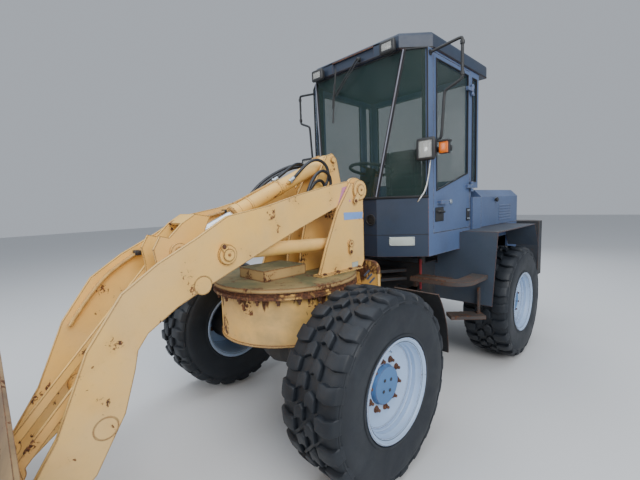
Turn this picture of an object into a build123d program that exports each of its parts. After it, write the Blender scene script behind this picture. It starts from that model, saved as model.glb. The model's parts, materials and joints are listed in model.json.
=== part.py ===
from build123d import *
import math
import os

os.makedirs("parts", exist_ok=True)

# A compact wheel loader with a slewing boom, in millimetres.
# Here X points to the machine's left, -Y is forward, Z is up and the front axle lies at Y = 0.
# Every piece moves back by CENTRE_Y at the end, so that the model's box is centred.

# Driving sizes
WHEELBASE = 2150
TRACK = 1614
TYRE_R = 530
TYRE_W = 394
PIVOT_Y = 1070
DRUM_Y = 56
BOOM_PIN = (498, 1625)
BUCKET_PIN = (-1600, 292)
BUCKET_W = 2050
CAB_HALF = 621
ROOF_TOP = 2800
REAR_Y = 3290

# Fits and running gaps
RUN = 0.05
GAP = 6

# Wheels
BEAD_R = 254
FLANGE_R = 279
FLANGE_T = 14
RIM_HALF = 190
RIM_WALL = 14
DISC_AT = 62
DISC_T = 16
CAP_R = 105
CAP_LEN = 46
HUB_FLANGE_R = 172
HUB_FLANGE_T = 40
SPINDLE_R = 45
SPINDLE_LEN = 60

# Axles
AXLE_R = 72
DIFF_R = 135
DIFF_HALF = 170
END_R = 150
END_IN = 600
END_OUT = TRACK / 2 + DISC_AT - HUB_FLANGE_T - GAP
PAD_IN = 190
PAD_OUT = 290
PAD_TOP = 96
PAD_LEN = 220

# Front frame
DRUM_R = 467
DRUM_LOW = 669
DRUM_TOP = 975
RING_R = 515
RING_T = 18
BEARING_R = 500
BEARING_T = 20
SPIGOT_R = 320
NECK_HALF = 215
NECK_T = 30
NECK_LOW = 470
NECK_TOP = 870
NECK_END = PIVOT_Y - 270
EAR_R = 92
EAR_T = 40
STEER_PIN_R = 40
STRIPE_Y = 665
STRIPE_T = 40
STRIPE_HALF = 370
STRIPE_TOP = 1072

# Turntable
DECK_GAP = 5
DECK_LOW = DRUM_TOP + RING_T + BEARING_T + DECK_GAP
DECK_T = 27
DECK_TOP = DECK_LOW + DECK_T
DECK_R = 512
CHEEK_OUT = 340
CHEEK_T = 25
CORE_IN = 62
CORE_T = 22
BOX_HALF = 145
BOX_FRONT = -240
BOX_REAR = 120
BOX_TOP = 1115

# Boom
ARM_OUT = 308
ARM_T = 28
BOOM_PIN_R = 40
TUBE_R = 48
HINGE_R = 32

# Lift cylinders
LIFT_X = 228
LIFT_BASE = (385, 1242)
LIFT_EYE = (-584, 1284)
LIFT_R = 44
LIFT_ROD_R = 25
LIFT_PIN_R = 25
LIFT_BARREL = 840
LIFT_TRAVEL = 440
EYE_HALF = 28

# Tilt cylinder and linkage
TILT_BASE = (502, 1870)
TILT_EYE = (-760, 1308)
TILT_R = 49
TILT_ROD_R = 28
TILT_PIN_R = 25
TILT_BARREL = 940
TILT_TRAVEL = 400
LEVER_ARM = 190
LEVER_SLANT = 65.5
LEVER_IN = 80
LEVER_T = 22
LINK_IN = LEVER_IN + LEVER_T + GAP
LINK_T = 24
LINK_HALF = 28
COUPLER_IN = LINK_IN + LINK_T + 2 * GAP
COUPLER_T = 24

# Steering cylinders
STEER_BASE = (235, 1480)
STEER_EYE = (285, 800)
STEER_Z = 680
STEER_R = 36
STEER_ROD_R = 20
STEER_PIN = 18
STEER_BARREL = 450
STEER_TRAVEL = 214
STEER_PLATE = 28

# Rear frame
RAIL_OUT = 380
RAIL_T = 30
RAIL_LOW = 620
RAIL_TOP = 960
RAIL_FRONT = PIVOT_Y + 230
RAIL_REAR = 3120
FORK_T = 28
FORK_HALF = 240
FORK_LOW = 430
EAR_GAP = 5

# Engine
ENGINE_HALF = 230
ENGINE_Y = (2330, 3000)

# Cab
CAB_LOW = 1087
CAB_T = 24
SILL_Z = 1558
FACET = (293, 774)
CORNER_Y = 1009
CAB_REAR = 1960
SHELF_Z = 1632
HOOD_FRONT = 1780
ROOF_LOW = 2676
GLASS_T = 6
SCREEN_LEAN = 131
DOOR_FRONT = 1090
DOOR_REAR = 1766
DOOR_LOW = 1270
DOOR_GAP = 6

# Rear body
BODY_HALF = CAB_HALF + 29
BODY_LOW = 900
ARCH_TOP = 1130
ARCH_REAR = WHEELBASE + 600
BODY_TOP = 1615
BODY_SPLIT = 1252
BODY_REAR = 3060
BODY_CHAMFER = 70
FENDER_OUT = 950
APRON_Y = WHEELBASE - TYRE_R - 60
APRON_LOW = 600
APRON_TOP = 1238
SHEET = 8

# Tow hitch
HITCH_Z = 720
HITCH_GAP = 70
HITCH_T = 28
HITCH_BORE = 17

# Front mudguards
GUARD_R = 655
GUARD_FROM = -2
GUARD_TO = 38
GUARD_IN = 622

# Bucket, as Y and Z from its hinge pin when level, and its roll back at rest
REST_CROWD = 35
BACK = -150
HEEL = (-200, -270)
TIP = (-900, -270)
LIP = (-215, 480)
WALL = 18

# Cab mounts, glass strips, windows and door hinges
MOUNT_Y = (1345, 1700)
STRIP = 20
WINDOW_HEAD = 2620
HINGE_AT = (CAB_HALF + 20, DOOR_REAR + 4)
HINGE_Z = (1600, 2460)
HOOD_HINGE = (CAB_REAR + 40, BODY_TOP + 10)
HOOD_HINGE_R = 14
HOOD_HINGE_HALF = 414

# Exhaust stub on the hood
EXHAUST_AT = (-430, BODY_REAR - 410)
EXHAUST_R = 42


def slab_x(points, x_low, x_high, radius=0):
    """A plate drawn in Y and Z, from x_low to x_high."""
    face = make_face(Polyline(*points, close=True))
    if radius:
        face = fillet(face.vertices(), radius)
    return Location((x_low, 0, 0)) * extrude(Plane.YZ * face, x_high - x_low)


def slab_y(points, y_low, y_high, radius=0):
    """A plate drawn in X and Z, from y_low to y_high."""
    face = make_face(Polyline(*points, close=True))
    if radius:
        face = fillet(face.vertices(), radius)
    return Location((0, y_high, 0)) * extrude(Plane.XZ * face, y_high - y_low)


def slab_z(points, z_low, z_high, radius=0):
    """A plate drawn in X and Y, from z_low to z_high."""
    face = make_face(Polyline(*points, close=True))
    if radius:
        face = fillet(face.vertices(), radius)
    return Location((0, 0, z_low)) * extrude(face, z_high - z_low)


def block(x_low, x_high, y_low, y_high, z_low, z_high):
    """A box between its limits, which may be given either way round."""
    place = Location(((x_low + x_high) / 2, (y_low + y_high) / 2, (z_low + z_high) / 2))
    return place * Box(abs(x_high - x_low), abs(y_high - y_low), abs(z_high - z_low))


def bar(start, end, radius):
    """A round bar between two points."""
    run = Vector(*end) - Vector(*start)
    return Plane(origin=start, z_dir=run) * extrude(Circle(radius), run.length)


def pin_x(at, radius, x_low, x_high):
    """A round bar across the machine, at a point of Y and Z."""
    return bar((x_low, at[0], at[1]), (x_high, at[0], at[1]), radius)


def pin_z(at, radius, z_low, z_high):
    """An upright round bar, at a point of X and Y."""
    return bar((at[0], at[1], z_low), (at[0], at[1], z_high), radius)


def both(shape):
    """A piece and its mirror image on the other side."""
    return shape + mirror(shape, Plane.YZ)


def along(start, end, distance):
    """The point of Y and Z at a distance from start towards end."""
    share = distance / math.dist(start, end)
    return (start[0] + (end[0] - start[0]) * share, start[1] + (end[1] - start[1]) * share)


def turn_x(profile):
    """A ring about the X axis, from a profile drawn in X and radius."""
    return revolve(make_face(Polyline(*profile, close=True)), Axis.X)


PARTS = {}


# Wheels

def tyre():
    half = TYRE_W / 2
    profile = [
        (-RIM_HALF + FLANGE_T, BEAD_R),
        (-RIM_HALF + FLANGE_T, FLANGE_R + 4),
        (-half + 12, FLANGE_R + 36),
        (-half, TYRE_R - 110),
        (-half + 12, TYRE_R - 34),
        (-half + 38, TYRE_R),
        (half - 38, TYRE_R),
        (half - 12, TYRE_R - 34),
        (half, TYRE_R - 110),
        (half - 12, FLANGE_R + 36),
        (RIM_HALF - FLANGE_T, FLANGE_R + 4),
        (RIM_HALF - FLANGE_T, BEAD_R),
    ]
    return turn_x(profile)


def rim():
    inner = BEAD_R - RIM_WALL
    barrel = turn_x([
        (-RIM_HALF, FLANGE_R),
        (-RIM_HALF + FLANGE_T, FLANGE_R),
        (-RIM_HALF + FLANGE_T, BEAD_R),
        (RIM_HALF - FLANGE_T, BEAD_R),
        (RIM_HALF - FLANGE_T, FLANGE_R),
        (RIM_HALF, FLANGE_R),
        (RIM_HALF, inner),
        (-RIM_HALF, inner),
    ])
    disc = turn_x([
        (DISC_AT, CAP_R),
        (DISC_AT + DISC_T, CAP_R),
        (DISC_AT + DISC_T, HUB_FLANGE_R),
        (DISC_AT + 2 * DISC_T, inner),
        (DISC_AT + DISC_T, inner),
        (DISC_AT, HUB_FLANGE_R),
    ])
    return barrel + disc


def hub():
    inner = DISC_AT - HUB_FLANGE_T
    outer = DISC_AT + CAP_LEN
    bore = inner + SPINDLE_LEN - GAP
    return turn_x([
        (inner, SPINDLE_R + RUN),
        (inner, HUB_FLANGE_R),
        (DISC_AT, HUB_FLANGE_R),
        (DISC_AT, CAP_R),
        (outer - 12, CAP_R),
        (outer, CAP_R - 12),
        (outer, 0),
        (bore + GAP, 0),
        (bore + GAP, SPINDLE_R + RUN),
    ])


# name, side of X, place in Y
WHEELS = [
    ("fl", 1, 0),
    ("fr", -1, 0),
    ("rl", 1, WHEELBASE),
    ("rr", -1, WHEELBASE),
]
for name, side, y in WHEELS:
    facing = Rot(0, 0, 0 if side > 0 else 180)
    place = Pos(side * TRACK / 2, y, TYRE_R)
    PARTS["tyre_" + name] = place * facing * tyre()
    PARTS["rim_" + name] = place * facing * (rim() + hub())


# Axles

def axle(y):
    half = turn_x([
        (0, 0),
        (0, DIFF_R),
        (DIFF_HALF - 70, DIFF_R - 20),
        (DIFF_HALF, AXLE_R + 10),
        (END_IN - 60, AXLE_R),
        (END_IN, END_R),
        (END_OUT, END_R),
        (END_OUT, SPINDLE_R),
        (END_OUT + SPINDLE_LEN, SPINDLE_R),
        (END_OUT + SPINDLE_LEN, 0),
    ])
    pad = block(PAD_IN, PAD_OUT, -PAD_LEN / 2, PAD_LEN / 2, 0, PAD_TOP)
    return Pos(0, y, TYRE_R) * both(half + pad)


PARTS["front_axle"] = axle(0)
PARTS["rear_axle"] = axle(WHEELBASE)


# Front frame

def tongue(z_low, z_high, half, root_y, radius):
    """A flat ear that runs from root_y to the upright steering pin."""
    side = radius * 0.9
    web = slab_z([(-half, root_y), (half, root_y), (side, PIVOT_Y), (-side, PIVOT_Y)], z_low, z_high)
    return web + pin_z((0, PIVOT_Y), radius, z_low, z_high)


def front_frame():
    drum = pin_z((0, DRUM_Y), DRUM_R, DRUM_LOW, DRUM_TOP)
    ring = pin_z((0, DRUM_Y), RING_R, DRUM_TOP, DRUM_TOP + RING_T)
    race = pin_z((0, DRUM_Y), BEARING_R, DRUM_TOP + RING_T, DRUM_TOP + RING_T + BEARING_T)
    socket = pin_z((0, DRUM_Y), SPIGOT_R + RUN, DRUM_TOP - GAP, DRUM_TOP + RING_T + BEARING_T)
    plate = block(NECK_HALF - NECK_T, NECK_HALF, PAD_LEN / 2, NECK_END, NECK_LOW, NECK_TOP)
    saddle = block(PAD_IN, PAD_OUT, -PAD_LEN / 2, PAD_LEN / 2, TYRE_R + PAD_TOP, DRUM_LOW)
    gusset = slab_x([(-330, DRUM_LOW), (-180, DRUM_LOW), (-180, 590)], 60, 90)
    rear_plate = block(-NECK_HALF, NECK_HALF, NECK_END - NECK_T, NECK_END, NECK_LOW, NECK_TOP)
    low_plate = block(-NECK_HALF, NECK_HALF, 230, NECK_END, NECK_LOW, NECK_LOW + EAR_T)
    top_plate = block(-NECK_HALF, NECK_HALF, 400, NECK_END, NECK_TOP - EAR_T, NECK_TOP)
    body = drum + ring + race + both(plate + saddle + gusset) + rear_plate + low_plate + top_plate
    for z in (NECK_LOW, NECK_TOP - EAR_T):
        body += tongue(z, z + EAR_T, NECK_HALF, NECK_END, EAR_R)
    for side in (1, -1):
        eye_x = side * STEER_EYE[0]
        for z in (STEER_Z - STEER_R - GAP - 20, STEER_Z + STEER_R + GAP):
            body += block(side * (NECK_HALF - 20), eye_x, STEER_EYE[1] - 34, STEER_EYE[1] + 30, z, z + 20)
            body += pin_z((eye_x, STEER_EYE[1]), 32, z, z + 20)
    pins = pin_z((0, PIVOT_Y), STEER_PIN_R + RUN, NECK_LOW, NECK_TOP)
    return body - socket - pins


PARTS["front_frame"] = front_frame()

stripe_low = NECK_TOP
stripe = slab_y(
    [(-STRIPE_HALF, stripe_low), (STRIPE_HALF, stripe_low), (STRIPE_HALF, STRIPE_TOP), (-STRIPE_HALF, STRIPE_TOP)],
    STRIPE_Y, STRIPE_Y + STRIPE_T)
stripe = fillet(stripe.edges().filter_by(Axis.Y).group_by(Axis.Z)[-1], 70)


PARTS["front_frame"] = PARTS["front_frame"] + stripe


def front_guard():
    start, end = math.radians(GUARD_FROM), math.radians(GUARD_TO)
    mid = (start + end) / 2
    outer = GUARD_R + SHEET

    def on(radius, angle):
        return (radius * math.cos(angle), TYRE_R + radius * math.sin(angle))

    outline = [
        ThreePointArc(on(GUARD_R, start), on(GUARD_R, mid), on(GUARD_R, end)),
        Line(on(GUARD_R, end), on(outer, end)),
        ThreePointArc(on(outer, end), on(outer, mid), on(outer, start)),
        Line(on(outer, start), on(GUARD_R, start)),
    ]
    face = Plane.YZ * make_face(outline)
    shell = Pos(GUARD_IN, 0, 0) * extrude(face, FENDER_OUT - GUARD_IN)
    arm = block(NECK_HALF, FENDER_OUT - 60, GUARD_R - 12, GUARD_R + 24, 690, 740)
    return shell + (arm - Pos(0, 0, TYRE_R) * bar((0, 0, 0), (FENDER_OUT, 0, 0), GUARD_R + 2))


PARTS["front_guards"] = both(front_guard())


# Turntable

def deck():
    plate = pin_z((0, DRUM_Y), DECK_R, DECK_LOW, DECK_TOP)
    spigot = pin_z((0, DRUM_Y), SPIGOT_R, DRUM_TOP, DECK_LOW)
    box = block(-BOX_HALF, BOX_HALF, BOX_FRONT, BOX_REAR, DECK_TOP, BOX_TOP)
    return plate + spigot + box


CHEEK = [(70, DECK_TOP), (505, DECK_TOP), (545, 1100), (545, 1640), (520, 1676), (415, 1676), (267, 1481), (150, 1240)]
CORE = [(120, DECK_TOP), (500, DECK_TOP), (560, 1200), (590, 1690), (545, 1880), (500, 1922), (440, 1900), (262, 1620), (150, 1250)]


def cheek(side):
    low, high = CHEEK_OUT - CHEEK_T, CHEEK_OUT
    plate = slab_x(CHEEK, low, high)
    foot = block(low - 40, high + 18, 70, 505, DECK_TOP, DECK_TOP + 14)
    boss = pin_x(BOOM_PIN, 72, high, high + 14)
    shape = plate + foot + boss
    shape = shape if side > 0 else mirror(shape, Plane.YZ)
    return shape


def core():
    plate = both(slab_x(CORE, CORE_IN, CORE_IN + CORE_T))
    tie = block(-CORE_IN, CORE_IN, 540, 560, DECK_TOP, 1180)
    return plate + tie


def tower_pins():
    boom_pin = pin_x(BOOM_PIN, BOOM_PIN_R, CORE_IN + CORE_T, CHEEK_OUT + 22)
    lift_pin = pin_x(LIFT_BASE, LIFT_PIN_R, CORE_IN + CORE_T, CHEEK_OUT + 12)
    keeper = slab_x([(330, 1200), (420, 1200), (420, 1240), (330, 1240)], CHEEK_OUT, CHEEK_OUT + 8)
    tilt_pin = pin_x(TILT_BASE, TILT_PIN_R, -CORE_IN - CORE_T - 14, CORE_IN + CORE_T + 14)
    return both(boom_pin + lift_pin), tilt_pin


boom_pins, tilt_pin = tower_pins()
PARTS["deck"] = deck()
PARTS["tower_left"] = cheek(1) - boom_pins
PARTS["tower_right"] = cheek(-1) - boom_pins
PARTS["tower_core"] = core() + boom_pins + tilt_pin


# Boom

LEAN = math.radians(LEVER_SLANT)
LEVER_PIVOT = (TILT_EYE[0] - LEVER_ARM * math.cos(LEAN), TILT_EYE[1] - LEVER_ARM * math.sin(LEAN))
LINK_FOOT = (BUCKET_PIN[0] + LEVER_ARM * math.cos(LEAN), BUCKET_PIN[1] + LEVER_ARM * math.sin(LEAN))


def beside_link(down, forward):
    """A point behind the line that the links never cross, measured from the lever's pivot."""
    run = math.dist(TILT_EYE, LINK_FOOT)
    ahead = ((LINK_FOOT[0] - TILT_EYE[0]) / run, (LINK_FOOT[1] - TILT_EYE[1]) / run)
    return (LEVER_PIVOT[0] - ahead[1] * down + ahead[0] * forward, LEVER_PIVOT[1] + ahead[0] * down + ahead[1] * forward)


TUBE_AT = beside_link(78, -80)
FRONT_TUBE_AT = beside_link(78, 640)
ARM_TOP = [(414, 1690), (206, 1653), (-67, 1595), (-301, 1534), (-563, 1489), (-737, 1389), (-938, 1286), (-1100, 1175),
           (-1250, 960), (-1380, 640), (-1530, 400)]
ARM_LOW = [(-1600, 216), (-1480, 250), (-1260, 420), (-1130, 640), (-1075, 820), (-1056, 906), (-1008, 971),
           (-863, 1062), (-646, 1154), (-388, 1258), (-79, 1377), (279, 1502), (430, 1545)]


def arm(side):
    outline = slab_x(ARM_TOP + ARM_LOW, ARM_OUT - ARM_T, ARM_OUT)
    heel = pin_x(BOOM_PIN, 92, ARM_OUT - ARM_T, ARM_OUT)
    boss = pin_x(BOOM_PIN, 66, ARM_OUT - ARM_T - 26, ARM_OUT)
    toe = pin_x(BUCKET_PIN, 78, ARM_OUT - ARM_T - 14, ARM_OUT + 4)
    lift_boss = pin_x(LIFT_EYE, 52, ARM_OUT, ARM_OUT + 18)
    shape = outline + heel + boss + toe + lift_boss
    shape -= pin_x(BOOM_PIN, BOOM_PIN_R + RUN, 0, ARM_OUT + 60)
    shape -= pin_x(BUCKET_PIN, HINGE_R + RUN, 0, ARM_OUT + 60)
    shape -= pin_x(TUBE_AT, TUBE_R, 0, ARM_OUT + 60)
    shape -= pin_x(FRONT_TUBE_AT, TUBE_R, 0, ARM_OUT + 60)
    return shape if side > 0 else mirror(shape, Plane.YZ)


def boom_cross():
    """The tubes between the arms and the ears that carry the lever."""
    tube = pin_x(TUBE_AT, TUBE_R, -ARM_OUT, ARM_OUT)
    front = pin_x(FRONT_TUBE_AT, TUBE_R, -ARM_OUT, ARM_OUT)
    ear_low, ear_high = TILT_R + 5, LEVER_IN - GAP
    ear = pin_x(LEVER_PIVOT, 45, ear_low, ear_high) + pin_x(TUBE_AT, TUBE_R + 6, ear_low, ear_high)
    web = slab_x([
        (LEVER_PIVOT[0], LEVER_PIVOT[1] + 40), (LEVER_PIVOT[0], LEVER_PIVOT[1] - 44),
        (TUBE_AT[0], TUBE_AT[1] - 50), (TUBE_AT[0], TUBE_AT[1] + 50)], ear_low, ear_high)
    lever_pin = pin_x(LEVER_PIVOT, TILT_PIN_R, ear_low, LEVER_IN + LEVER_T + 4)
    return tube + front + both(ear + web + lever_pin)


PARTS["boom_left"] = arm(1)
PARTS["boom_right"] = arm(-1)
PARTS["boom_cross"] = boom_cross()


def cylinder(base, eye, x, radius, rod_radius, pin_radius, barrel_length, travel, pin_low, pin_high):
    """A barrel on its base pin and a rod that carries its own pin, in the plane at x."""
    head = along(base, eye, barrel_length)
    start = along(base, eye, pin_radius + 4)

    def at(point):
        return (x, point[0], point[1])

    barrel = bar(at(start), at(head), radius)
    barrel += pin_x(base, pin_radius + 20, x - EYE_HALF, x + EYE_HALF)
    barrel -= bar(at(along(base, eye, pin_radius + 40)), at(along(base, eye, barrel_length + 10)), rod_radius + RUN)
    barrel -= pin_x(base, pin_radius + RUN, x - EYE_HALF - 1, x + EYE_HALF + 1)
    tail = along(base, eye, barrel_length - travel - 60)
    rod = bar(at(tail), at(eye), rod_radius)
    rod += pin_x(eye, pin_radius + 20, x - EYE_HALF, x + EYE_HALF)
    rod += pin_x(eye, pin_radius, pin_low, pin_high)
    return barrel, rod


def steering():
    """The left steering cylinder, drawn in X and Y at the height STEER_Z."""
    base, eye = STEER_BASE, STEER_EYE

    def at(point):
        return (point[0], point[1], STEER_Z)

    barrel = bar(at(along(base, eye, STEER_PIN + 4)), at(along(base, eye, STEER_BARREL)), STEER_R)
    barrel += pin_z(base, STEER_PIN + 16, STEER_Z - STEER_R, STEER_Z + STEER_R)
    barrel -= bar(at(along(base, eye, STEER_PIN + 30)), at(along(base, eye, STEER_BARREL + 10)), STEER_ROD_R + RUN)
    barrel -= pin_z(base, STEER_PIN + RUN, STEER_Z - STEER_R - 1, STEER_Z + STEER_R + 1)
    rod = bar(at(along(base, eye, STEER_BARREL - STEER_TRAVEL)), at(eye), STEER_ROD_R)
    rod += pin_z(eye, STEER_PIN + 16, STEER_Z - STEER_R, STEER_Z + STEER_R)
    return barrel, rod


lift_barrel, lift_rod = cylinder(LIFT_BASE, LIFT_EYE, LIFT_X, LIFT_R, LIFT_ROD_R, LIFT_PIN_R, LIFT_BARREL,
                                 LIFT_TRAVEL, LIFT_X - EYE_HALF - 12, ARM_OUT - ARM_T - GAP)
tilt_barrel, tilt_rod = cylinder(TILT_BASE, TILT_EYE, 0, TILT_R, TILT_ROD_R, TILT_PIN_R, TILT_BARREL,
                                 TILT_TRAVEL, -EYE_HALF - 20, EYE_HALF + 20)
steer_barrel, steer_rod = steering()
PARTS["lift_barrels"] = both(lift_barrel)
PARTS["lift_rods"] = both(lift_rod)
PARTS["tilt_barrel"] = tilt_barrel
PARTS["tilt_rod"] = tilt_rod
PARTS["steer_barrel_left"] = steer_barrel
PARTS["steer_rod_left"] = steer_rod
PARTS["steer_barrel_right"] = mirror(steer_barrel, Plane.YZ)
PARTS["steer_rod_right"] = mirror(steer_rod, Plane.YZ)

HOOK = [(-872, 1240), (-885, 1330), (-846, 1399), (-800, 1385), (-726, 1457), (-648, 1505), (-560, 1488), (-604, 1394),
        (-690, 1340), (-742, 1290)]


def lever():
    foot = [(LEVER_PIVOT[0] + 30, LEVER_PIVOT[1]), (LEVER_PIVOT[0] - 38, LEVER_PIVOT[1])]
    plate = slab_x(foot + HOOK, LEVER_IN, LEVER_IN + LEVER_T) + pin_x(LEVER_PIVOT, 46, LEVER_IN, LEVER_IN + LEVER_T)
    cover = slab_x([(-726, 1457), (-648, 1505), (-606, 1497), (-609, 1485), (-647, 1493), (-719, 1447)], 0, LEVER_IN)
    shape = both(plate + cover) - pin_x(LEVER_PIVOT, TILT_PIN_R + RUN, -200, 200)
    return shape + both(pin_x(TILT_EYE, TILT_PIN_R, LEVER_IN, LINK_IN + LINK_T + 4))


def link():
    web = LINK_HALF - 4
    run = bar((0, *TILT_EYE), (0, *LINK_FOOT), web)
    run = run & block(-LINK_T / 2, LINK_T / 2, -3000, 3000, 0, 3000)
    shape = Pos(LINK_IN + LINK_T / 2, 0, 0) * run
    for at in (TILT_EYE, LINK_FOOT):
        shape += pin_x(at, TILT_PIN_R + 22, LINK_IN, LINK_IN + LINK_T)
    shape -= pin_x(TILT_EYE, TILT_PIN_R + RUN, 0, 500)
    shape += pin_x(LINK_FOOT, TILT_PIN_R, LINK_IN - 8, COUPLER_IN - GAP)
    return both(shape)


PARTS["tilt_lever"] = lever()
PARTS["tilt_link"] = link()


# Bucket and its coupler frame, drawn level about the hinge pin and then rolled back

LINK_PIN = (LEVER_ARM * math.cos(LEAN + math.radians(REST_CROWD)), LEVER_ARM * math.sin(LEAN + math.radians(REST_CROWD)))
rolled = Pos(0, *BUCKET_PIN) * Rot(-REST_CROWD, 0, 0)


def coupler():
    ear = slab_x([(0, -60), (60, 0), (0, 90), (BACK, 230), (BACK, -130), (-100, -130)], 220, 256)
    ear += pin_x((0, 0), 60, 220, 256)
    top = slab_x([(LINK_PIN[0] + 44, LINK_PIN[1]), (LINK_PIN[0], LINK_PIN[1] + 46), (BACK, 250), (BACK, 60),
                  (LINK_PIN[0], LINK_PIN[1] - 60)], COUPLER_IN, COUPLER_IN + COUPLER_T)
    tie = block(0, 256, BACK, BACK + 36, -130, 250)
    hinge = pin_x((0, 0), HINGE_R, 216, ARM_OUT + 14)
    return both(ear + top + tie + hinge)


def bucket():
    shell = [
        (BACK, -130), HEEL, TIP, (TIP[0], TIP[1] + WALL), (HEEL[0] - 8, HEEL[1] + WALL), (BACK - WALL, -124),
        (BACK - WALL, 276), (LIP[0] - WALL, LIP[1]), LIP, (BACK, 280),
    ]
    side = [(BACK, -130), HEEL, (TIP[0] + 60, TIP[1]), (LIP[0] - WALL, LIP[1]), LIP, (BACK, 280)]
    half = BUCKET_W / 2
    return slab_x(shell, -half, half) + both(slab_x(side, half - WALL, half))


PARTS["coupler"] = rolled * coupler()
PARTS["bucket"] = rolled * bucket()


# Rear frame

def pivot_fork():
    """The rear half's front wall with the ears that hold the steering pin and windows for the steering cylinders."""
    body = block(-RAIL_OUT, RAIL_OUT, RAIL_FRONT, RAIL_FRONT + RAIL_T, FORK_LOW, RAIL_TOP)
    for z in (NECK_LOW, NECK_TOP - EAR_T):
        low = z - EAR_GAP - FORK_T
        high = z + EAR_T + EAR_GAP
        for plate_z in (low, high):
            body += tongue(plate_z, plate_z + FORK_T, FORK_HALF, RAIL_FRONT, EAR_R - 4)
        body += pin_z((0, PIVOT_Y), STEER_PIN_R, low - 10, high + FORK_T + 10)
    window = block(130, RAIL_OUT - RAIL_T - 1, RAIL_FRONT - 1, RAIL_FRONT + RAIL_T + 1, STEER_Z - 60, STEER_Z + 60)
    return body - both(window)


def rear_frame():
    start = RAIL_FRONT + RAIL_T
    rail = block(RAIL_OUT - RAIL_T, RAIL_OUT, start, RAIL_REAR, RAIL_LOW, RAIL_TOP)
    tail = block(-RAIL_OUT, RAIL_OUT, RAIL_REAR - RAIL_T, RAIL_REAR, RAIL_LOW, RAIL_TOP)
    saddle = block(PAD_IN, RAIL_OUT, WHEELBASE - PAD_LEN / 2, WHEELBASE + PAD_LEN / 2, TYRE_R + PAD_TOP, 700)
    feet = block(ENGINE_HALF, RAIL_OUT - RAIL_T, ENGINE_Y[0] + 60, ENGINE_Y[0] + 130, 800, 850)
    feet += block(ENGINE_HALF, RAIL_OUT - RAIL_T, ENGINE_Y[1] - 130, ENGINE_Y[1] - 60, 800, 850)
    low = STEER_Z - STEER_R - GAP - STEER_PLATE
    high = STEER_Z + STEER_R + GAP
    clevis = pin_z(STEER_BASE, STEER_PIN, low, high + STEER_PLATE)
    for z in (low, high):
        clevis += block(STEER_BASE[0] - 40, RAIL_OUT, STEER_BASE[1] - 20, STEER_BASE[1] + 60, z, z + STEER_PLATE)
    posts = [pin_z((RAIL_OUT - RAIL_T / 2, y), 34, RAIL_TOP, CAB_LOW) for y in MOUNT_Y]
    return both(rail + saddle + feet + clevis + posts[0] + posts[1]) + tail


PARTS["pivot_fork"] = pivot_fork()
PARTS["rear_frame"] = rear_frame()
PARTS["engine_block"] = block(-ENGINE_HALF, ENGINE_HALF, *ENGINE_Y, 720, 1420)


# Cab

def cab_plan(inset):
    """The cab's outline in X and Y below the windows, from its right rear corner round to the left one."""
    half = CAB_HALF - inset
    run = math.hypot(CAB_HALF - FACET[0], CORNER_Y - FACET[1])
    slope = (CORNER_Y - FACET[1]) / (CAB_HALF - FACET[0])
    front_y = FACET[1] + inset
    lift = inset * run / (CAB_HALF - FACET[0])
    front_x = FACET[0] + (front_y - FACET[1] - lift) / slope
    corner_y = CORNER_Y + lift - inset * slope
    return [(-half, HOOD_FRONT), (-half, corner_y), (-front_x, front_y), (front_x, front_y), (half, corner_y), (half, HOOD_FRONT)]


def cab_front():
    outer = slab_z(cab_plan(0)[1:5], CAB_LOW, SILL_Z)
    inner = slab_z([(-900, CORNER_Y + 200)] + cab_plan(CAB_T)[1:5] + [(900, CORNER_Y + 200)], CAB_LOW - 1, SILL_Z + 1)
    cut = outer - inner
    return cut


PARTS["cab_front"] = cab_front()
floor = slab_z(cab_plan(CAB_T), CAB_LOW, CAB_LOW + 22)
PARTS["cab_floor"] = floor


def cab_side(side, door):
    outline = [(CORNER_Y, CAB_LOW), (HOOD_FRONT, CAB_LOW), (HOOD_FRONT, SHELF_Z), (CAB_REAR, SHELF_Z), (CAB_REAR, ROOF_LOW),
               (CORNER_Y, ROOF_LOW)]
    plate = slab_x(outline, CAB_HALF - CAB_T, CAB_HALF)
    quarter = block(0, 900, DOOR_REAR + 50, CAB_REAR - 50, SHELF_Z + 60, WINDOW_HEAD)
    plate -= quarter
    if door:
        plate -= block(0, 900, DOOR_FRONT - DOOR_GAP, DOOR_REAR + DOOR_GAP, DOOR_LOW - DOOR_GAP, ROOF_LOW + 1)
        plate += block(CAB_HALF - CAB_T, CAB_HALF, DOOR_FRONT - DOOR_GAP, DOOR_REAR + DOOR_GAP, ROOF_LOW - 14, ROOF_LOW)
    else:
        plate -= slab_x(DOOR_WINDOW, 0, 900)
    return plate if side > 0 else mirror(plate, Plane.YZ)


DOOR_WINDOW = [(DOOR_FRONT + 45, SILL_Z + 48), (DOOR_REAR - 45, SILL_Z + 205), (DOOR_REAR - 45, WINDOW_HEAD),
               (DOOR_FRONT + 45, WINDOW_HEAD)]
PARTS["cab_left"] = cab_side(1, True)
PARTS["cab_right"] = cab_side(-1, False)


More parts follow.
